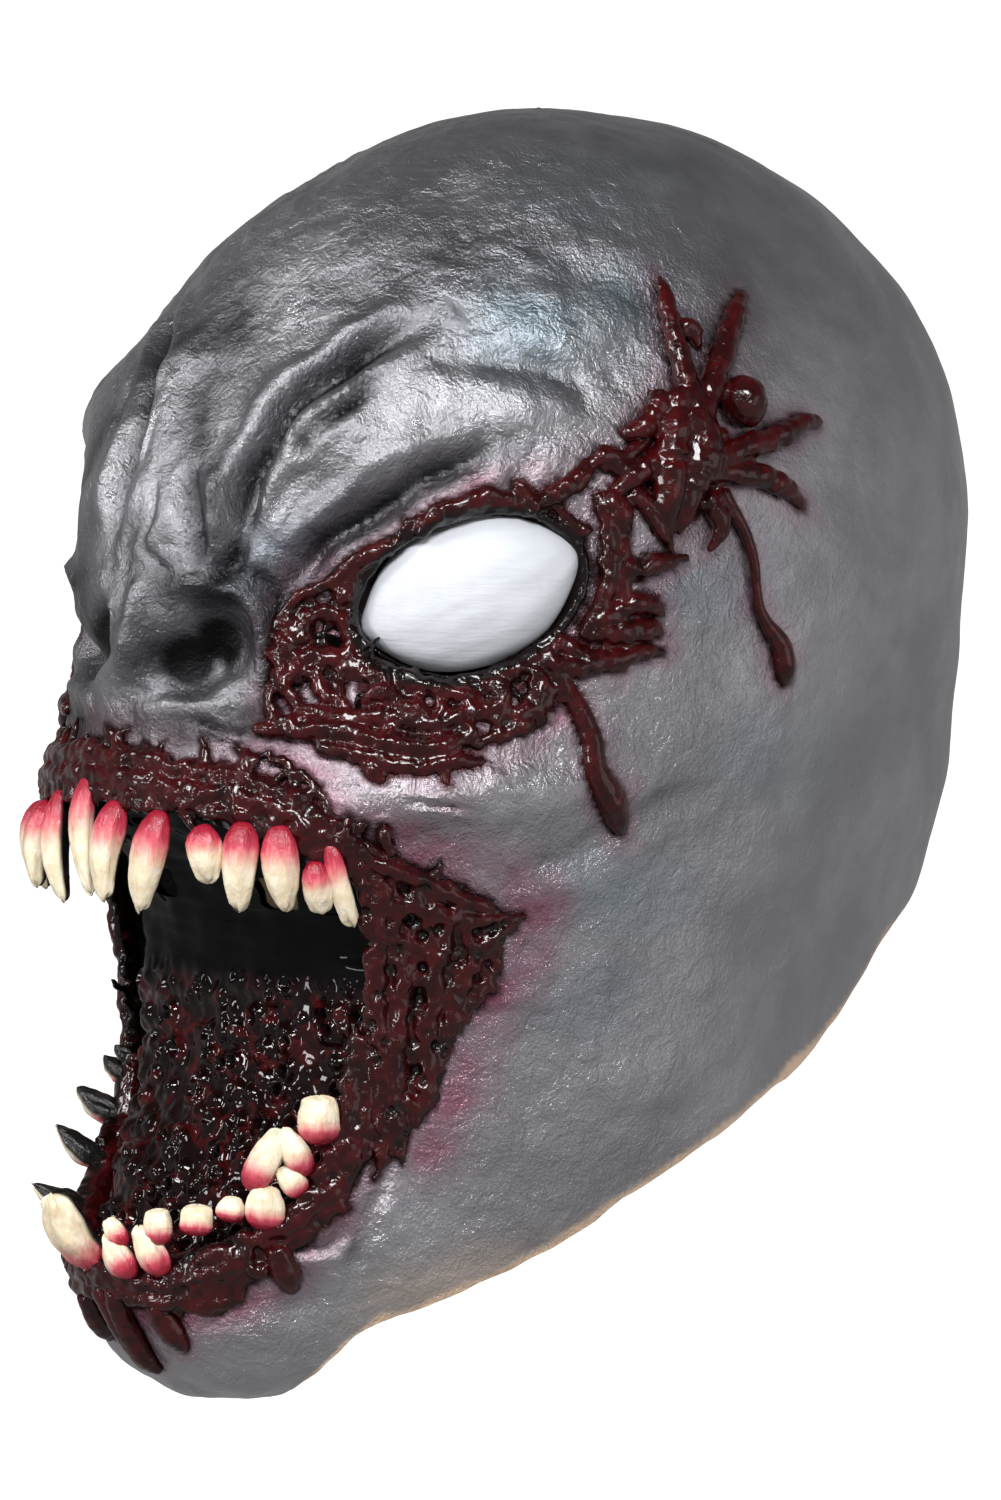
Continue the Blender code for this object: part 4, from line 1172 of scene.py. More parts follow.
# Teeth that show from the left: root and tip on the side plane in millimetres, half width and
# half thickness in millimetres, how far the tip stands out, bluntness.
UPPER_LEFT = [
    ((-120, -69.5), (-125, -96.5), 5.4, 4.2, 0.8, 0.45),
    ((-108, -71.5), (-114, -99.5), 5.3, 4.4, 0.8, 0.40),
    ((-96.5, -74.5), (-95, -90.5), 4.8, 4.0, 1.0, 0.55),
    ((-86, -73.5), (-85.5, -98), 5.2, 4.2, 1.0, 0.45),
    ((-75.7, -74), (-75, -98), 5.4, 4.0, 1.2, 0.40),
    ((-66.5, -83.5), (-65, -98.5), 4.2, 3.4, 1.0, 0.50),
    ((-62.5, -78.5), (-57, -102), 3.0, 2.6, 1.5, 0.80),
]
UPPER_RIGHT = [
    ((-128, -63.5), (-128.5, -96), 4.1, 3.6, 0.5, 0.45),
    ((-136, -69), (-136, -99), 4.4, 3.8, 0.5, 0.45),
]
UPPER_FAR = [
    ((-98.5, -73), (-99.5, -97), 4.8, 4.0, 4.0, 0.50),
    ((-88, -74), (-86, -96), 5.0, 4.2, 4.0, 0.45),
    ((-76.5, -76), (-75, -99.5), 4.8, 4.0, 4.0, 0.40),
    ((-67, -83), (-66, -98), 4.2, 3.4, 3.0, 0.50),
    ((-61.5, -82), (-58, -99), 3.0, 2.6, 4.0, 0.60),
]
LOWER_LEFT = [
    ((-115.5, -201), (-123.5, -189.5), 4.2, 3.6, 2.5, 0.45),
    ((-107.5, -200), (-114, -186), 4.2, 3.6, 2.5, 0.50),
    ((-109, -192), (-109.5, -182), 4.2, 3.8, 1.5, 0.75),
    ((-99, -189), (-98.5, -180.5), 4.8, 3.8, 1.2, 0.80),
    ((-90, -185), (-89, -178), 4.0, 3.4, 1.2, 0.60),
    ((-81, -187), (-79.5, -174.5), 5.4, 4.4, 2.0, 0.70),
    ((-85, -176), (-75.5, -160), 4.8, 3.8, 2.0, 0.45),
    ((-69, -172), (-75, -158.5), 4.0, 3.4, 2.5, 0.45),
    ((-65.5, -163.5), (-66, -150), 5.6, 4.6, 1.5, 0.85),
]
# Second cusps of double teeth, by number.
LOWER_SECOND = {
    2: ((-118, -193), (-123, -185.5), 3.2, 2.8, 1.0, 0.60),
    8: ((-70.5, -177.5), (-75.5, -169), 3.6, 3.0, 3.0, 0.60),
}
# The far side's lower teeth, by place along the gum: how far from the middle, length, half width,
# half thickness, lean outwards (length per length), bluntness. All but the first two show their
# black insides, so their fronts count as this much further back.
FAR_LIT, FAR_SHIFT = 2, -0.9
LOWER_FAR = [
    (0.0060, 0.0275, 0.0066, 0.0052, 0.78, 0.75),
    (0.0190, 0.0130, 0.0042, 0.0036, 0.50, 0.50),
    (0.0300, 0.0120, 0.0044, 0.0036, 1.30, 0.12),
    (0.0400, 0.0175, 0.0050, 0.0040, 2.10, 0.12),
    (0.0480, 0.0180, 0.0050, 0.0040, 1.30, 0.12),
    (0.0530, 0.0165, 0.0046, 0.0038, 1.60, 0.12),
    (0.0552, 0.0105, 0.0036, 0.0030, 1.30, 0.12),
    (0.0563, 0.0070, 0.0028, 0.0024, 1.60, 0.15),
]
# Share of the length from the root, and of the greatest half width.
TOOTH_PROFILE = [
    (0.0, 0.30), (0.06, 0.58), (0.16, 0.84), (0.32, 1.0), (0.5, 0.98), (0.7, 0.84), (0.86, 0.62),
    (1.0, 0.42),
]


def tooth_body(root, tip, out, half_width, half_thickness, blunt, seed, sharp=False):
    """The points and faces of a tooth, and each point's share of the length and frontness."""
    rows, sides = ((40, 32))
    shares, widths = np.array(TOOTH_PROFILE).T
    start, end = [0.0, 0.004, 0.015], [0.955, 0.975, 0.988, 0.996, 0.999, 1.0]
    share = np.concatenate([start, np.linspace(0.03, 0.93, rows - 9), end])
    wide = np.interp(share, shares, widths)
    wide = wide + np.where(share > 0.45, (blunt - 0.42) * (share - 0.45) * 1.3, 0)
    cap = np.sqrt(np.clip(1 - ((share - 0.91) / 0.09).clip(0, 1) ** 2, 0, 1))
    start = np.sqrt(np.clip(1 - (1 - share / 0.03).clip(0, 1) ** 2, 0, 1))
    wide = np.maximum(wide * (0.04 + 0.96 * cap) * (0.1 + 0.9 * start), 0.02)
    way, length = tip - root, np.linalg.norm(tip - root)
    front = unit(out - unit(way) * (unit(way) @ out))
    aside = np.cross(unit(way), front)
    line = root + way * share[:, None]
    hook = np.random.default_rng(seed).normal(size=2)
    line = line + front * (0.07 * length * np.sin(np.pi * share))[:, None]
    line = line + aside * (0.05 * hook[0] * length * share**2)[:, None]
    turns = np.linspace(0, 2 * np.pi, sides, endpoint=False)
    ring = np.stack([np.cos(turns) * 1.3, np.sin(turns) * 1.3, 0 * turns], -1)
    place = ring[None] + np.stack([0 * share, 0 * share, share * 1.6], -1)[:, None] + 3.7 * seed
    lumpy = 1 + 0.13 * noise(place, 0.9, seed) + 0.06 * noise(place * (1, 1, 0.4), 0.35, seed + 1)
    ragged = step(0.72, 1.0, share)[:, None]
    lumpy = lumpy + ragged * 0.22 * noise(place, 0.5, seed + 2)
    ridges = 1 + 0.035 * np.cos(7 * turns + 4 * hook[1])[None] * step(0.0, 0.25, share)[:, None]
    if sharp:
        lumpy = lumpy + 0.18 * noise(place, 0.35, seed + 3)
    across = (half_width * wide)[:, None] * lumpy * ridges
    depth = (half_thickness * wide)[:, None] * lumpy * ridges
    points = line[:, None] + aside * (np.cos(turns)[None] * across)[..., None]
    points = points + front * (np.sin(turns)[None] * depth)[..., None]
    slide = ragged * 0.05 * length * noise(place, 0.6, seed + 4)
    points = points + unit(way) * slide[..., None]
    total = len(share)
    faces = ring_faces(total, sides)
    faces += [list(range(sides)), list(range((total - 1) * sides, total * sides))]
    return points.reshape(-1, 3), faces, np.repeat(share, sides), np.tile(np.sin(turns), total)


def make_tooth(name, bodies, look, shift=0.0):
    """A tooth of one or more bodies; shift is added to the frontness of every point."""
    points, faces, share, front = [], [], [], []
    for body in bodies:
        base = sum(len(p) for p in points)
        faces += [[i + base for i in f] for f in body[1]]
        points.append(body[0])
        share.append(body[2])
        front.append(body[3])
    mesh = bpy.data.meshes.new(name)
    mesh.from_pydata(np.vstack(points).tolist(), [], faces)
    outwards(mesh)
    mesh.shade_smooth()
    store(mesh, "share", np.concatenate(share))
    store(mesh, "front", np.concatenate(front) + shift)
    obj = add(name, mesh, look)
    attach(obj, "root")
    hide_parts(name)


def placed_tooth(data, side, seed):
    """A tooth given by its root and tip on the side plane."""
    (root_a, root_z), (tip_a, tip_z), half_width, half_thickness, stands, blunt = data
    root = pressed(root_a, root_z, 0.0016)
    out = np.array(outward(root_a, root_z)) * (side, 1, 1)
    tip = pressed(tip_a, tip_z)
    tip = np.array(mirror(tip, side)) + out * stands / 1000
    root = np.array(mirror(root, side))
    return tooth_body(root, tip, out, half_width / 1000, half_thickness / 1000, blunt, seed)


def far_tooth(data, seed):
    """A lower tooth on the far side, leaning out from the gum."""
    x, length, half_width, half_thickness, lean, blunt = data
    z = gum_height(LOWER_GUM, x)
    x *= float(right_wider(z))
    root = np.array(gum_place(-x, z))
    out = unit(np.array([-x * 0.9, face_front(x, z) + 0.075, 0.0]))
    tip = root + length * unit(np.array([0, 0, 1.0]) + out * lean)
    return tooth_body(root, tip, out, half_width, half_thickness, blunt, seed, True)


def all_teeth(look):
    seed = 40
    for label, teeth, side in (("left", UPPER_LEFT, 1), ("right", UPPER_RIGHT + UPPER_FAR, -1)):
        for i, data in enumerate(teeth):
            seed += 1
            direct = 1 if side > 0 or i < len(UPPER_RIGHT) else -1
            make_tooth(f"upper_tooth_{label}_{i + 1}", [placed_tooth(data, direct, seed)], look)
    for i, data in enumerate(LOWER_LEFT):
        seed += 1
        bodies = [placed_tooth(data, 1, seed)]
        if i + 1 in LOWER_SECOND:
            bodies.append(placed_tooth(LOWER_SECOND[i + 1], 1, seed + 30))
        make_tooth(f"lower_tooth_left_{i + 1}", bodies, look)
    for i, data in enumerate(LOWER_FAR):
        seed += 1
        shift = 0.0 if i < FAR_LIT else FAR_SHIFT
        make_tooth(f"lower_tooth_right_{i + 1}", [far_tooth(data, seed)], look, shift)


# ---------------------------------------------------------------- throat liner and eyes

# Height, its middle, half width, and how far its edge is behind the front of the skin there.
LINER_ROWS = [
    (-0.0640, -0.1490, 0.0520, 0.0100),
    (-0.0750, -0.1350, 0.0605, 0.0095),
    (-0.0880, -0.1250, 0.0660, 0.0070),
    (-0.1050, -0.1170, 0.0670, 0.0055),
    (-0.1250, -0.1170, 0.0655, 0.0050),
    (-0.1450, -0.1200, 0.0625, 0.0070),
    (-0.1600, -0.1260, 0.0595, 0.0090),
    (-0.1750, -0.1350, 0.0540, 0.0100),
    (-0.1870, -0.1400, 0.0460, 0.0110),
    (-0.1960, -0.1440, 0.0340, 0.0105),
    (-0.2040, -0.1455, 0.0260, 0.0110),
]
# The power by which the liner comes forward from its middle to its edge, on each side.
LINER_BOW, LINER_BOW_RIGHT = 2.0, 3.2
LINER_WALL = 0.0022
VENT_X, VENT_Z, VENT_HALF_WIDTH, VENT_HALF_HEIGHT = 0.026, -0.0965, 0.0075, 0.0045


def throat_liner(look):
    """The black sheet behind the mouth: smooth above, bubbly below, with two vents."""
    columns = 200
    rows = []
    for z, middle, half, behind in smooth_line(LINER_ROWS, 18):
        share = np.linspace(-1, 1, columns)
        half = np.where(share > 0, half, half * right_wider(z))
        edge = np.array([face_front(x, z) for x in half]) + behind
        bow = np.abs(share) ** np.where(share > 0, LINER_BOW, LINER_BOW_RIGHT)
        rows.append(np.stack([share * half, middle + (edge - middle) * bow, z + 0 * share], -1))
    p = np.array(rows)
    flat = p.reshape(-1, 3)
    out = unit(np.cross(np.gradient(p, axis=0), np.gradient(p, axis=1))).reshape(-1, 3)
    first, _ = cells(flat, 0.0072, 61)
    pitted = step(-0.117, -0.127, flat[:, 2])
    ring = step(0.10, 0.30, first) - step(0.34, 0.62, first)
    bubbly = 0.0021 * ring - 0.0016 * step(0.3, 0.05, first) + 0.0006 * rough(flat, 0.004, 62, 2)
    height = pitted * bubbly
    stretched = flat * (0.15, 0.15, 1)
    height += (1 - pitted) * 0.0007 * rough(stretched, 0.0030, 63, 2)
    height += 0.0010 * rough(flat, 0.018, 64, 2)
    flat = flat + out * height[:, None]
    mesh = bpy.data.meshes.new("throat_liner")
    mesh.from_pydata(flat.tolist(), [], grid_faces(len(p), columns, False))
    store(mesh, "raw", pitted)
    # Painted shade in the bottoms of the pits.
    store(mesh, "pit_shade", pitted * step(0.34, 0.10, first))
    mesh.shade_smooth()
    obj = add("throat_liner", mesh)
    wall = obj.modifiers.new("wall", "SOLIDIFY")
    wall.thickness, wall.offset = LINER_WALL, -1
    liner = add("throat_liner", evaluated(obj))
    cutters = []
    for side in (1, -1):
        place = from_front(side * VENT_X, -0.115, VENT_Z)
        turns = np.linspace(0, 2 * np.pi, 28, endpoint=False)
        boxy = [
            (
                VENT_HALF_WIDTH * np.sign(math.cos(t)) * abs(math.cos(t)) ** 0.4,
                VENT_HALF_HEIGHT * np.sign(math.sin(t)) * abs(math.sin(t)) ** 0.4,
            )
            for t in turns
        ]
        cutters.append(prism("vent_cutter", boxy, 0.02, place))
    liner = cut(liner, cutters)
    liner.data.materials.append(look)
    liner.data.shade_smooth()
    liner.data.set_sharp_from_angle(angle=math.radians(60))
    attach(liner, "root")
    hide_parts("throat_liner")


EYE_WALL = 0.002


def eye_dome(name, side, look):
    """A thin oval cap with a hand-trimmed edge."""
    segments = 96
    cap = bmesh.new()
    bmesh.ops.create_uvsphere(cap, u_segments=segments, v_segments=segments // 2, radius=1.0)
    whole = cap.verts[:] + cap.edges[:] + cap.faces[:]
    below = {"plane_co": (0, 0, -0.02), "plane_no": (0, 0, -1)}
    bmesh.ops.bisect_plane(cap, geom=whole, clear_outer=True, **below)
    for vertex in cap.verts:
        vertex.co.y *= 1 - EYE_POINTED * abs(vertex.co.x) ** 4
    size = Matrix.Diagonal((EYE_HALF_LENGTH, EYE_HALF_HEIGHT, EYE_HALF_DEPTH, 1))
    bmesh.ops.transform(cap, matrix=size, verts=cap.verts)
    mesh = bpy.data.meshes.new(name)
    cap.to_mesh(mesh)
    cap.free()
    p = coordinates(mesh)
    rim = step(0.004, 0.0, p[:, 2])
    grow = 1 + 0.012 * rim * noise(p, 0.006, 71) + 0.006 * noise(p, 0.02, 72)
    p = p * grow[:, None]
    p[:, 2] += 0.0003 * noise(p * (0.3, 1, 1), 0.004, 73)
    p = np.array([eye_place(side) @ Vector(q) for q in p])
    move_points(mesh, p)
    outwards(mesh)
    mesh.shade_smooth()
    obj = add(name, mesh)
    wall = obj.modifiers.new("wall", "SOLIDIFY")
    wall.thickness, wall.offset = EYE_WALL, -1
    obj = add(name, evaluated(obj))
    obj.data.materials.append(look)
    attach(obj, "root")
    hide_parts(name)


# ---------------------------------------------------------------- materials


class Look:
    """A material and short ways to add its nodes. Sockets and plain numbers both go in."""

    def __init__(self, name, **values):
        self.material = bpy.data.materials.new(name)
        self.material.use_nodes = True
        self.nodes, self.links = self.material.node_tree.nodes, self.material.node_tree.links
        self.shader = self.nodes["Principled BSDF"]
        self.place = self.nodes.new("ShaderNodeTexCoord").outputs["Object"]
        for key, value in values.items():
            self.shade(key.replace("_", " "), value)

    def shade(self, socket, value):
        self.put(self.shader.inputs[socket], value)

    def put(self, socket, value):
        if isinstance(value, bpy.types.NodeSocket):
            self.links.new(value, socket)
        else:
            colour = socket.type == "RGBA" and isinstance(value, tuple)
            socket.default_value = (*value, 1) if colour else value

    def stretched(self, along, turn=(0, 0, 0)):
        node = self.nodes.new("ShaderNodeMapping")
        self.put(node.inputs["Vector"], self.place)
        node.inputs["Scale"].default_value = along
        node.inputs["Rotation"].default_value = turn
        return node.outputs["Vector"]

    def noise(self, size, detail=4.0, rough=0.5, distortion=0.0, where=None):
        node = self.nodes.new("ShaderNodeTexNoise")
        self.put(node.inputs["Vector"], where or self.place)
        node.inputs["Scale"].default_value = 1 / size
        node.inputs["Detail"].default_value = detail
        node.inputs["Roughness"].default_value = rough
        node.inputs["Distortion"].default_value = distortion
        return node.outputs["Fac"]

    def cells(self, size):
        node = self.nodes.new("ShaderNodeTexVoronoi")
        self.put(node.inputs["Vector"], self.place)
        node.inputs["Scale"].default_value = 1 / size
        return node.outputs["Distance"]

    def painted(self, name):
        node = self.nodes.new("ShaderNodeAttribute")
        node.attribute_name = name
        return node.outputs["Fac"]

    def maths(self, operation, first, second):
        node = self.nodes.new("ShaderNodeMath")
        node.operation = operation
        self.put(node.inputs[0], first)
        self.put(node.inputs[1], second)
        return node.outputs[0]

    def fit(self, value, low, high, new_low=0.0, new_high=1.0):
        node = self.nodes.new("ShaderNodeMapRange")
        node.interpolation_type = "SMOOTHSTEP"
        names = ("Value", "From Min", "From Max", "To Min", "To Max")
        for socket, number in zip(names, (value, low, high, new_low, new_high)):
            self.put(node.inputs[socket], number)
        return node.outputs["Result"]

    def mix(self, share, first, second):
        node = self.nodes.new("ShaderNodeMix")
        node.data_type = "RGBA"
        self.put(node.inputs[0], share)
        self.put(node.inputs[6], first)
        self.put(node.inputs[7], second)
        return node.outputs[2]

    def bump(self, *layers):
        """Layers of (height, distance in metres), finest last."""
        normal = None
        for height, distance in layers:
            node = self.nodes.new("ShaderNodeBump")
            node.inputs["Distance"].default_value = distance
            self.put(node.inputs["Height"], height)
            if normal:
                self.put(node.inputs["Normal"], normal)
            normal = node.outputs["Normal"]
        self.shade("Normal", normal)


def silver_look():
    look = Look("silver_latex", Metallic=0.85, Specular_IOR_Level=0.4)
    blotch = look.noise(0.045, 5, 0.55, 0.4)
    cloud = look.noise(0.012, 5, 0.6, 0.8)
    speck = look.cells(0.0022)
    colour = look.mix(look.fit(blotch, 0.35, 0.65), (0.285, 0.281, 0.300), (0.370, 0.366, 0.388))
    colour = look.mix(look.fit(cloud, 0.35, 0.75, 0, 0.3), colour, (0.240, 0.237, 0.255))
    patchy = look.fit(look.noise(0.02, 4, 0.6, 0.5), 0.3, 0.7, 0.5, 1.0)
    # Random unevenness in the painted shade.
    worn = look.fit(look.noise(0.016, 3, 0.5, 0.4), 0.2, 0.8, 0.6, 1.0)
    # Blue-green and pink paint, then painted shade from the dull dark patches.
    for name, share, paint in (
        ("teal", patchy, (0.10, 0.19, 0.24)),
        ("pink", patchy, (0.25, 0.075, 0.125)),
        ("shade", worn, (0.060, 0.060, 0.068)),
    ):
        colour = look.mix(look.maths("MULTIPLY", look.painted(name), share), colour, paint)
    # Blood paint round the gore, partly a painted contact shadow.
    colour = look.mix(look.painted("blood_and_contact_shadow"), colour, (0.030, 0.006, 0.008))
    # Black paint and painted shade in creases, round the nose and eyes, and at the mouth.
    colour = look.mix(look.painted("black_and_shade"), colour, (0.008, 0.008, 0.009))
    colour = look.mix(look.fit(speck, 0.10, 0.03, 0, 0.2), colour, (0.10, 0.10, 0.105))
    colour = look.mix(look.painted("bare"), colour, (0.60, 0.43, 0.30))
    look.shade("Base Color", colour)
    dull = look.fit(look.noise(0.010, 3, 0.5), 0.25, 0.75, 0.245, 0.36)
    satin = look.maths("MULTIPLY", look.painted("satin"), 0.12)
    look.shade("Roughness", look.maths("ADD", dull, satin))
    look.shade("Metallic", look.fit(look.painted("bare"), 0, 1, 0.85, 0.0))
    dimple = look.noise(0.0060, 4, 0.55, 0.5)
    grain = look.noise(0.0010, 3, 0.65)
    rough_front = look.fit(look.painted("satin"), 0, 1, 1.0, 0.35)
    dimple, grain = (look.maths("MULTIPLY", height, rough_front) for height in (dimple, grain))
    look.bump((dimple, 0.0012), (grain, 0.0005))
    return look.material


def bare_look():
    look = Look("bare_latex", Roughness=0.6, Specular_IOR_Level=0.35, Subsurface_Weight=0.1)
    look.shader.inputs["Subsurface Scale"].default_value = 0.002
    tone = look.noise(0.03, 5, 0.6)
    stain = look.noise(0.011, 5, 0.65, 0.7)
    colour = look.mix(look.fit(tone, 0.35, 0.65), (0.50, 0.35, 0.23), (0.63, 0.48, 0.34))
    colour = look.mix(look.fit(stain, 0.55, 0.75, 0, 0.5), colour, (0.36, 0.24, 0.15))
    # Painted shade inside the head, and black paint at the mouth's edge.
    colour = look.mix(look.painted("black_and_shade"), colour, (0.010, 0.008, 0.008))
    look.shade("Base Color", colour)
    look.bump((look.noise(0.006, 5, 0.6, 0.6), 0.0009), (look.noise(0.0011, 3), 0.0002))
    return look.material


def gore_look():
    look = Look("gore", Specular_IOR_Level=0.12, Coat_Weight=0.5, Coat_IOR=1.45)
    look.shade("Coat Roughness", 0.05)
    tone = look.noise(0.009, 5, 0.6, 0.8)
    fleck = look.noise(0.003, 4, 0.6, 0.6)
    colour = look.mix(look.fit(tone, 0.36, 0.66), (0.016, 0.0011, 0.0015), (0.045, 0.0024, 0.0032))
    colour = look.mix(look.fit(fleck, 0.58, 0.74, 0, 0.35), colour, (0.012, 0.0015, 0.0018))
    # Painted shade in pits, dips and at the skin, and the black seal at the eye.
    colour = look.mix(look.painted("shade_and_seal_black"), colour, (0.004, 0.0012, 0.0012))
    look.shade("Base Color", colour)
    look.shade("Roughness", look.fit(look.noise(0.004, 4, 0.6), 0.35, 0.7, 0.16, 0.34))
    look.bump((look.noise(0.0034, 3, 0.5, 0.6), 0.0007), (look.noise(0.0011, 2), 0.00008))
    return look.material


def liner_look():
    look = Look("black_latex", Specular_IOR_Level=0.0, Coat_Roughness=0.05, Coat_IOR=1.4)
    look.shade("Coat Weight", look.fit(look.painted("raw"), 0, 1, 0.22, 0.7))
    tone = look.fit(look.noise(0.008, 5, 0.6, 0.8), 0.47, 0.68)
    raw = look.mix(tone, (0.005, 0.0016, 0.0016), (0.045, 0.0034, 0.0042))
    # Painted shade in the pits.
    raw = look.mix(look.painted("pit_shade"), raw, (0.002, 0.0015, 0.0015))
    colour = look.mix(look.painted("raw"), (0.0040, 0.0040, 0.0046), raw)
    look.shade("Base Color", colour)
    look.shade("Roughness", look.fit(look.noise(0.005, 4, 0.6), 0.35, 0.7, 0.20, 0.38))
    wave = look.noise(0.004, 3, 0.5, 0.9, look.stretched((0.3, 0.3, 1.4)))
    look.bump((wave, 0.0014), (look.noise(0.0012, 3), 0.00012))
    return look.material


def tooth_look():
    look = Look("tooth", Specular_IOR_Level=0.5, Subsurface_Weight=0.12)
    look.shader.inputs["Subsurface Scale"].default_value = 0.002
    tone = look.noise(0.005, 5, 0.6, 0.5)
    streak = look.noise(0.0022, 5, 0.6, 0.4, look.stretched((1.0, 1.0, 0.35)))
    ivory = look.mix(look.fit(tone, 0.35, 0.68), (0.72, 0.60, 0.41), (0.84, 0.76, 0.60))
    ivory = look.mix(look.fit(streak, 0.52, 0.70, 0, 0.28), ivory, (0.55, 0.39, 0.24))
    share = look.painted("share")
    uneven = look.maths("MULTIPLY", look.maths("SUBTRACT", streak, 0.5), 0.30)
    ragged = look.maths("ADD", share, uneven)
    colour = look.mix(look.fit(ragged, 0.60, 0.22), ivory, (0.56, 0.060, 0.10))
    colour = look.mix(look.fit(ragged, 0.34, 0.06), colour, (0.28, 0.006, 0.022))
    back = look.fit(look.painted("front"), -0.15, -0.55)
    colour = look.mix(back, colour, (0.006, 0.005, 0.005))
    look.shade("Base Color", colour)
    look.shade("Roughness", look.fit(tone, 0.3, 0.7, 0.26, 0.42))
    groove = look.noise(0.0016, 4, 0.55, 0.3, look.stretched((1.0, 1.0, 0.22)))
    look.bump((groove, 0.0005), (look.noise(0.0009, 3), 0.00012))
    return look.material


def eye_look():
    look = Look("eye_white", Roughness=0.5, Specular_IOR_Level=0.4)
    tone = look.noise(0.02, 4, 0.5)
    colour = look.mix(look.fit(tone, 0.35, 0.65), (0.50, 0.515, 0.555), (0.56, 0.575, 0.615))
    stroke = look.noise(0.0016, 4, 0.55, 0.5, look.stretched((0.16, 0.16, 1.0), (0.1, 0.35, 0.2)))
    colour = look.mix(look.fit(stroke, 0.52, 0.72, 0, 0.2), colour, (0.43, 0.45, 0.52))
    look.shade("Base Color", colour)
    look.bump((stroke, 0.00020), (look.noise(0.0008, 3), 0.00005))
    return look.material


# ---------------------------------------------------------------- paint on the skin

# Soft patches, all as centre, radius along and up, amount: blue-green paint, painted shade,
# black paint that is partly painted shade, and where the paint is worn through above the hem.
TEAL = [
    ((-8, 62), (20, 14), 0.7), ((14, -96), (22, 12), 0.4), ((18, 66), (16, 12), 0.5),
    ((-78, -6), (12, 14), 0.5), ((10, 96), (26, 12), 0.3), ((0, -125), (26, 14), 0.25),
    ((60, -60), (20, 20), 0.2), ((35, -12), (16, 10), 0.3),
]
# Painted shade on the brow, nose, forehead and crown.
PAINTED_SHADE = [
    ((-92, 60), (16, 30), 0.8), ((-44, 74), (26, 16), 0.65), ((-30, 96), (30, 10), 0.4),
    ((-95, 8), (14, 26), 0.95), ((-102, -12), (18, 14), 0.8), ((-78, -26), (14, 16), 0.9),
    ((-52, 6), (20, 12), 0.7), ((-20, 30), (28, 8), 0.5), ((-108, -30), (16, 14), 0.9),
    ((-100, 28), (20, 30), 0.55), ((-60, 48), (14, 14), 0.5), ((-95, -48), (22, 8), 0.6),
    ((-84, 100), (24, 10), 0.4), ((20, 108), (70, 16), 0.35), ((44, 58), (26, 26), 0.4),
    ((-112, -10), (18, 34), 0.75), ((-28, 82), (34, 12), 0.75),
]
# Black airbrush round the nose, partly painted shade.
BLACK_AND_SHADE_PATCHES = [
    ((-84, -45), (13, 8), 0.7), ((-102, -49), (20, 7), 0.65), ((-109, -20), (9, 20), 0.65),
    ((-92, -13), (16, 6), 0.7), ((-70, -4), (10, 8), 0.5), ((-60, 20), (12, 10), 0.45),
    ((-98, 30), (5, 24), 0.5),
]
WORN_THROUGH = [((-28, -206), (34, 14), 0.35)]
# Pink paint along lines: the places it runs through, half width, amount.
PINK = [
    ([
        (-62, -70), (-40, -80), (-18, -90), (-4, -100), (-10, -116), (-20, -132), (-28, -150),
        (-36, -166),
    ], 9.0, 1.0),
    ([(-128, -212), (-104, -212), (-86, -207), (-70, -195), (-58, -180), (-50, -164)], 7.0, 0.8),
    ([(-84, -24), (-74, -8), (-62, -4)], 6.0, 0.7),
    ([(-84, -52), (-60, -62), (-34, -64), (-8, -54), (2, -44)], 4.5, 0.6),
    ([(-122, -48), (-100, -52), (-82, -54)], 5.0, 0.5),
    ([(30, 60), (24, 34), (26, 10), (34, -6)], 4.0, 0.35),
    ([(-64, -6), (-44, 6), (-24, 18), (0, 24)], 4.5, 0.5),
]


def patches(p, table):
    """How much of a table's paint there is at each point; none round the back."""
    left = on_left(p)
    a, z = on_plane(left)
    total = np.zeros(len(p))
    near = left @ np.array(SIDE_OUT) > 0.0
    for centre, radius, amount in table:
        away = np.hypot((a - centre[0]) / radius[0], (z - centre[1]) / radius[1])
        total = np.maximum(total, amount * np.exp(-(away**2)))
    return np.where(near, total, 0)


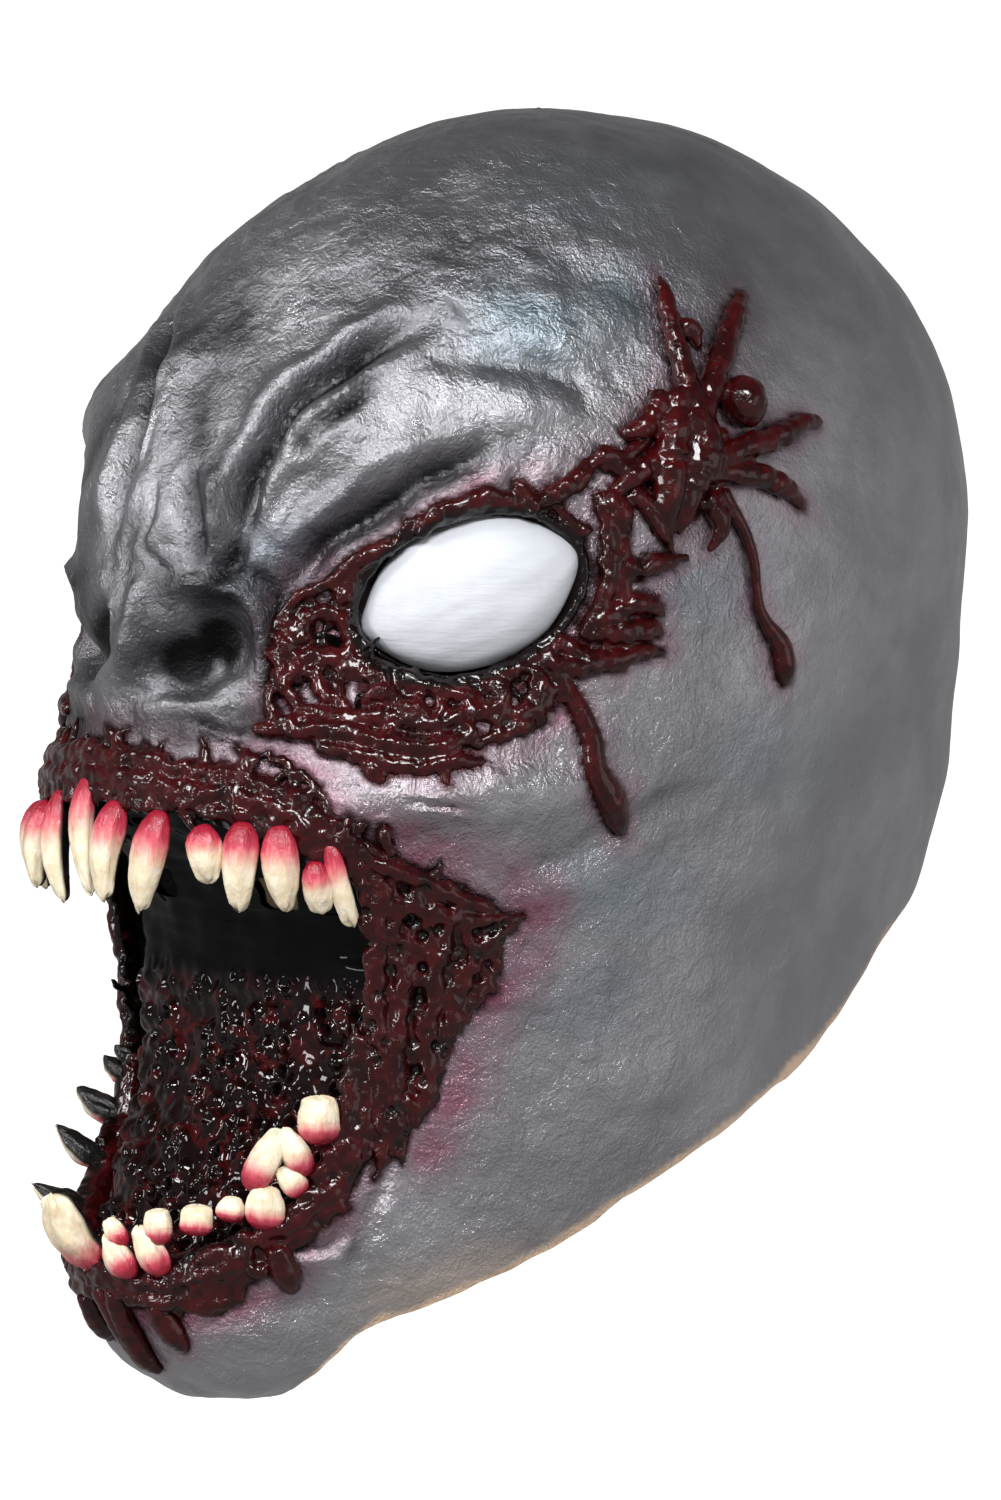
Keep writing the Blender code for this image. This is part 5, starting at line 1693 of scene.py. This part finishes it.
def paint_skin(skin, hollow, looks):
    """Records where the paint is what colour, where shade is painted, and which faces are bare
    latex.
    """
    mesh = skin.data
    p = coordinates(mesh)
    left = on_left(p)
    plain = np.array([BASE_TREE.find_nearest(Vector(q))[0] for q in p.tolist()])
    black_and_shade = large_forms(plain)[1]
    # Black airbrush round the nose, partly painted shade.
    black_and_shade = np.maximum(black_and_shade, patches(p, BLACK_AND_SHADE_PATCHES) * (1 + 0.4 * rough(p, 0.009, 86, 2)))
    reach, _ = eye_ring(p)
    black_and_shade = np.maximum(black_and_shade, step(1.20, 1.06, reach) * (reach < 9))
    loop = np.array([(x, 0, z) for x, z in mouth_loop()])
    from_mouth, _ = near_line(p * (1, 0, 1), np.vstack([loop, loop[:1]]))
    ahead = p[:, 1] < -0.06
    inside = np.array([hollow.find_nearest(Vector(q))[3] < 0.0005 for q in p.tolist()])
    rim = np.where(inside, step(0.020, 0.014, from_mouth), step(0.0022, 0.0008, from_mouth))
    black_and_shade = np.maximum(black_and_shade, ahead * rim)
    # Painted shade: the inside behind the eyes is painted black.
    black_and_shade = np.maximum(black_and_shade, ahead * inside * step(1.75, 1.5, reach))
    # Painted shade: the inside at ear height is painted nearly black.
    ear_high = step(0.075, 0.05, np.abs(p[:, 2] + 0.035)) * step(0.035, 0.05, np.abs(p[:, 0]))
    ear_high = ear_high * step(0.09, 0.06, p[:, 1])
    black_and_shade = np.maximum(black_and_shade, inside * ear_high * 0.97)
    store(mesh, "black_and_shade", np.clip(black_and_shade, 0, 1))
    # Dark red blood paint on the skin under and beside the gore, partly a painted contact shadow.
    gap = np.full(len(p), 1.0)
    for tree in GORE_TREES:
        gap = np.minimum(gap, [tree.find_nearest(Vector(q), 0.02)[3] or 1.0 for q in p.tolist()])
    ragged = 1 + 0.45 * rough(p, 0.007, 84, 2)
    store(mesh, "blood_and_contact_shadow", np.clip(step(0.0016, 0.0003, gap / ragged), 0, 1))
    halo = np.exp(-((gap * 1000 / (5.0 * ragged)) ** 2))
    store(mesh, "teal", patches(p, TEAL))
    # Painted shade from the dull dark patches.
    shade = patches(p, PAINTED_SHADE) * (1 + 0.5 * rough(p, 0.012, 81, 2))
    store(mesh, "shade", np.clip(shade, 0, 1))
    pink = np.zeros(len(p))
    for points, width, amount in PINK:
        away, _ = near_line(left, surface_line(points))
        pink = np.maximum(pink, amount * np.exp(-((away * 1000 / width) ** 2)))
    pink = np.maximum(pink, 0.45 * halo)
    store(mesh, "pink", np.clip(pink * (1 + 0.4 * rough(p, 0.010, 82, 2)), 0, 1))
    y, z = np.array(HEM[::-1]).T
    above = p[:, 2] - np.interp(p[:, 1], y, z)
    worn = patches(p, WORN_THROUGH) * step(0.032, 0.006, above) * (1 + 0.5 * noise(p, 0.012, 85))
    bare = step(0.0035, 0.0, above + 0.0012 * noise(p, 0.008, 83)) + worn
    store(mesh, "bare", np.clip(bare, 0, 1))
    store(mesh, "satin", step(-0.05, 0.03, p[:, 1]))
    for look in looks:
        mesh.materials.append(look)
    centres = np.empty(len(mesh.polygons) * 3)
    mesh.polygons.foreach_get("center", centres)
    gaps = [hollow.find_nearest(Vector(q))[3] for q in centres.reshape(-1, 3).tolist()]
    mesh.polygons.foreach_set("material_index", [int(gap < 0.0002) for gap in gaps])
    mesh.shade_smooth()
    mesh.set_sharp_from_angle(angle=math.radians(50))


# ---------------------------------------------------------------- the object

SILVER, BARE, GORE, BLACK = silver_look(), bare_look(), gore_look(), liner_look()
TOOTH, WHITE = tooth_look(), eye_look()

skin, hollow = latex_skin()
throat_liner(BLACK)
lip("upper_gum", UPPER_GUM, UPPER_GUM_RADIUS, UPPER_LIP_TOP, UPPER_LIP_LOW, UPPER_STRANDS, 51, GORE)
lip("lower_gum", LOWER_GUM, LOWER_GUM_RADIUS, LOWER_LIP_TOP, LOWER_LIP_LOW, LOWER_STRANDS, 52, GORE)
all_teeth(TOOTH)
for word, way, extra in (("left", 1, 0), ("right", -1, 100)):
    eye_dome(f"eye_dome_{word}", way, WHITE)
    eye_gore(f"eye_gore_{word}", way, 33 + extra, GORE)
    cheek_gore(f"cheek_gore_{word}", way, 34 + extra, GORE)
    drip(f"eye_drip_{word}", EYE_DRIP, way, 35 + extra, GORE)
    for number, (drip_name, places) in enumerate(DRIPS.items()):
        drip(f"{drip_name}_{word}", places, way, 36 + number + extra, GORE)
temple_wound(GORE)
drip("temple_drip_left", TEMPLE_DRIP, 1, 39, GORE)
paint_skin(skin, hollow, (SILVER, BARE))
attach(skin, "root")
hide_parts("latex_skin")

# ---------------------------------------------------------------- floor, light and camera

FLOOR_Z = -0.46
BOWL_PROFILE = [(0, 0), (9, 0), (11, 0.4), (12.5, 1.5), (13.5, 3.5), (14, 7), (14, 14)]
MIDDLE = (0, -0.02, -0.05)
WORLD_LOW, WORLD_HIGH = 0.40, 0.11  # the light's strength at the horizon and overhead


def bowl():
    """A round pale floor that curves up into a wall all round, well outside the camera."""
    profile = smooth_line(BOWL_PROFILE, 6)
    turns = np.linspace(0, 2 * np.pi, 64, endpoint=False)
    r, h = profile[:, 0][:, None], profile[:, 1][:, None]
    points = np.stack([r * np.cos(turns), r * np.sin(turns), h + 0 * turns], -1)
    rows, columns = points.shape[:2]
    faces = ring_faces(rows, columns, 1) + [tuple(range(columns, 2 * columns))[::-1]]
    mesh = bpy.data.meshes.new("studio_floor")
    mesh.from_pydata(points.reshape(-1, 3).tolist(), [], faces)
    mesh.shade_smooth()
    look = Look("studio_floor", Roughness=0.9, Base_Color=(0.86, 0.86, 0.86))
    look.shade("Emission Color", (1.0, 1.0, 1.0))
    look.shade("Emission Strength", 1.0)
    floor = add("studio_floor", mesh, look.material)
    floor.location.z = FLOOR_Z
    floor.visible_glossy = floor.visible_diffuse = floor.visible_shadow = False
    floor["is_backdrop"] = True


def softbox(name, place, width, height, power):
    """A lamp that faces the middle of the mask."""
    light = bpy.data.lights.new(name, "AREA")
    light.shape = "RECTANGLE"
    light.size, light.size_y = width, height
    light.energy = power
    lamp = bpy.data.objects.new(name, light)
    bpy.context.scene.collection.objects.link(lamp)
    lamp.location = place
    lamp.visible_camera = False
    lamp.rotation_euler = (Vector(MIDDLE) - Vector(place)).to_track_quat("-Z", "Y").to_euler()


def studio_world():
    """Even light all round, brightest at the horizon and dimmer overhead."""
    world = bpy.data.worlds.new("studio")
    world.use_nodes = True
    nodes, links = world.node_tree.nodes, world.node_tree.links
    split = nodes.new("ShaderNodeSeparateXYZ")
    links.new(nodes.new("ShaderNodeTexCoord").outputs["Generated"], split.inputs[0])
    fade = nodes.new("ShaderNodeMapRange")
    fade.interpolation_type = "SMOOTHSTEP"
    ends = {"From Min": -0.1, "From Max": 0.7, "To Min": WORLD_LOW, "To Max": WORLD_HIGH}
    for socket, number in ends.items():
        fade.inputs[socket].default_value = number
    links.new(split.outputs["Z"], fade.inputs["Value"])
    links.new(fade.outputs["Result"], nodes["Background"].inputs["Strength"])
    nodes["Background"].inputs["Color"].default_value = (1, 1, 1, 1)
    bpy.context.scene.world = world


bowl()
studio_world()
bpy.context.scene.view_settings.view_transform = "Standard"
softbox("key", (1.24, -0.95, 1.05), 0.50, 0.50, 34)
softbox("front", (-0.45, -1.60, 0.95), 0.40, 0.55, 14)
softbox("low", (-0.10, -1.75, -0.15), 0.30, 0.30, 7)
softbox("glint", (0.70, -1.75, 0.95), 0.14, 0.14, 9)
softbox("fill", (2.0, 0.6, -0.1), 1.2, 1.2, 5)

# The picture's middle is right and up of the head's middle, and the camera's distance is
# measured from a point a little in front of it. The view is as high as VIEW_HEIGHT there.
AZIMUTH, ELEVATION, DISTANCE = math.radians(52), math.radians(5), 4.5
RIGHTWARDS, UPWARDS, NEAR, VIEW_HEIGHT = -0.01554, -0.0644, 0.03, 0.42
camera_data = bpy.data.cameras.new("camera")
camera_data.sensor_fit = "VERTICAL"
camera_data.sensor_height = 36
camera_data.lens = 36 * DISTANCE / VIEW_HEIGHT
camera = bpy.data.objects.new("camera", camera_data)
bpy.context.scene.collection.objects.link(camera)
level = math.cos(ELEVATION)
toward = Vector((math.sin(AZIMUTH) * level, -math.cos(AZIMUTH) * level, math.sin(ELEVATION)))
right = Vector((math.cos(AZIMUTH), math.sin(AZIMUTH), 0))
camera.matrix_world = Matrix((right, toward.cross(right), toward)).transposed().to_4x4()
middle = right * RIGHTWARDS + toward.cross(right) * UPWARDS
camera.location = middle + toward * (NEAR + DISTANCE)
bpy.context.scene.camera = camera

boxes = {"cad": CAD_BOX, "visual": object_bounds()}
boxes = {name: [[float(x) for x in corner] for corner in box] for name, box in boxes.items()}
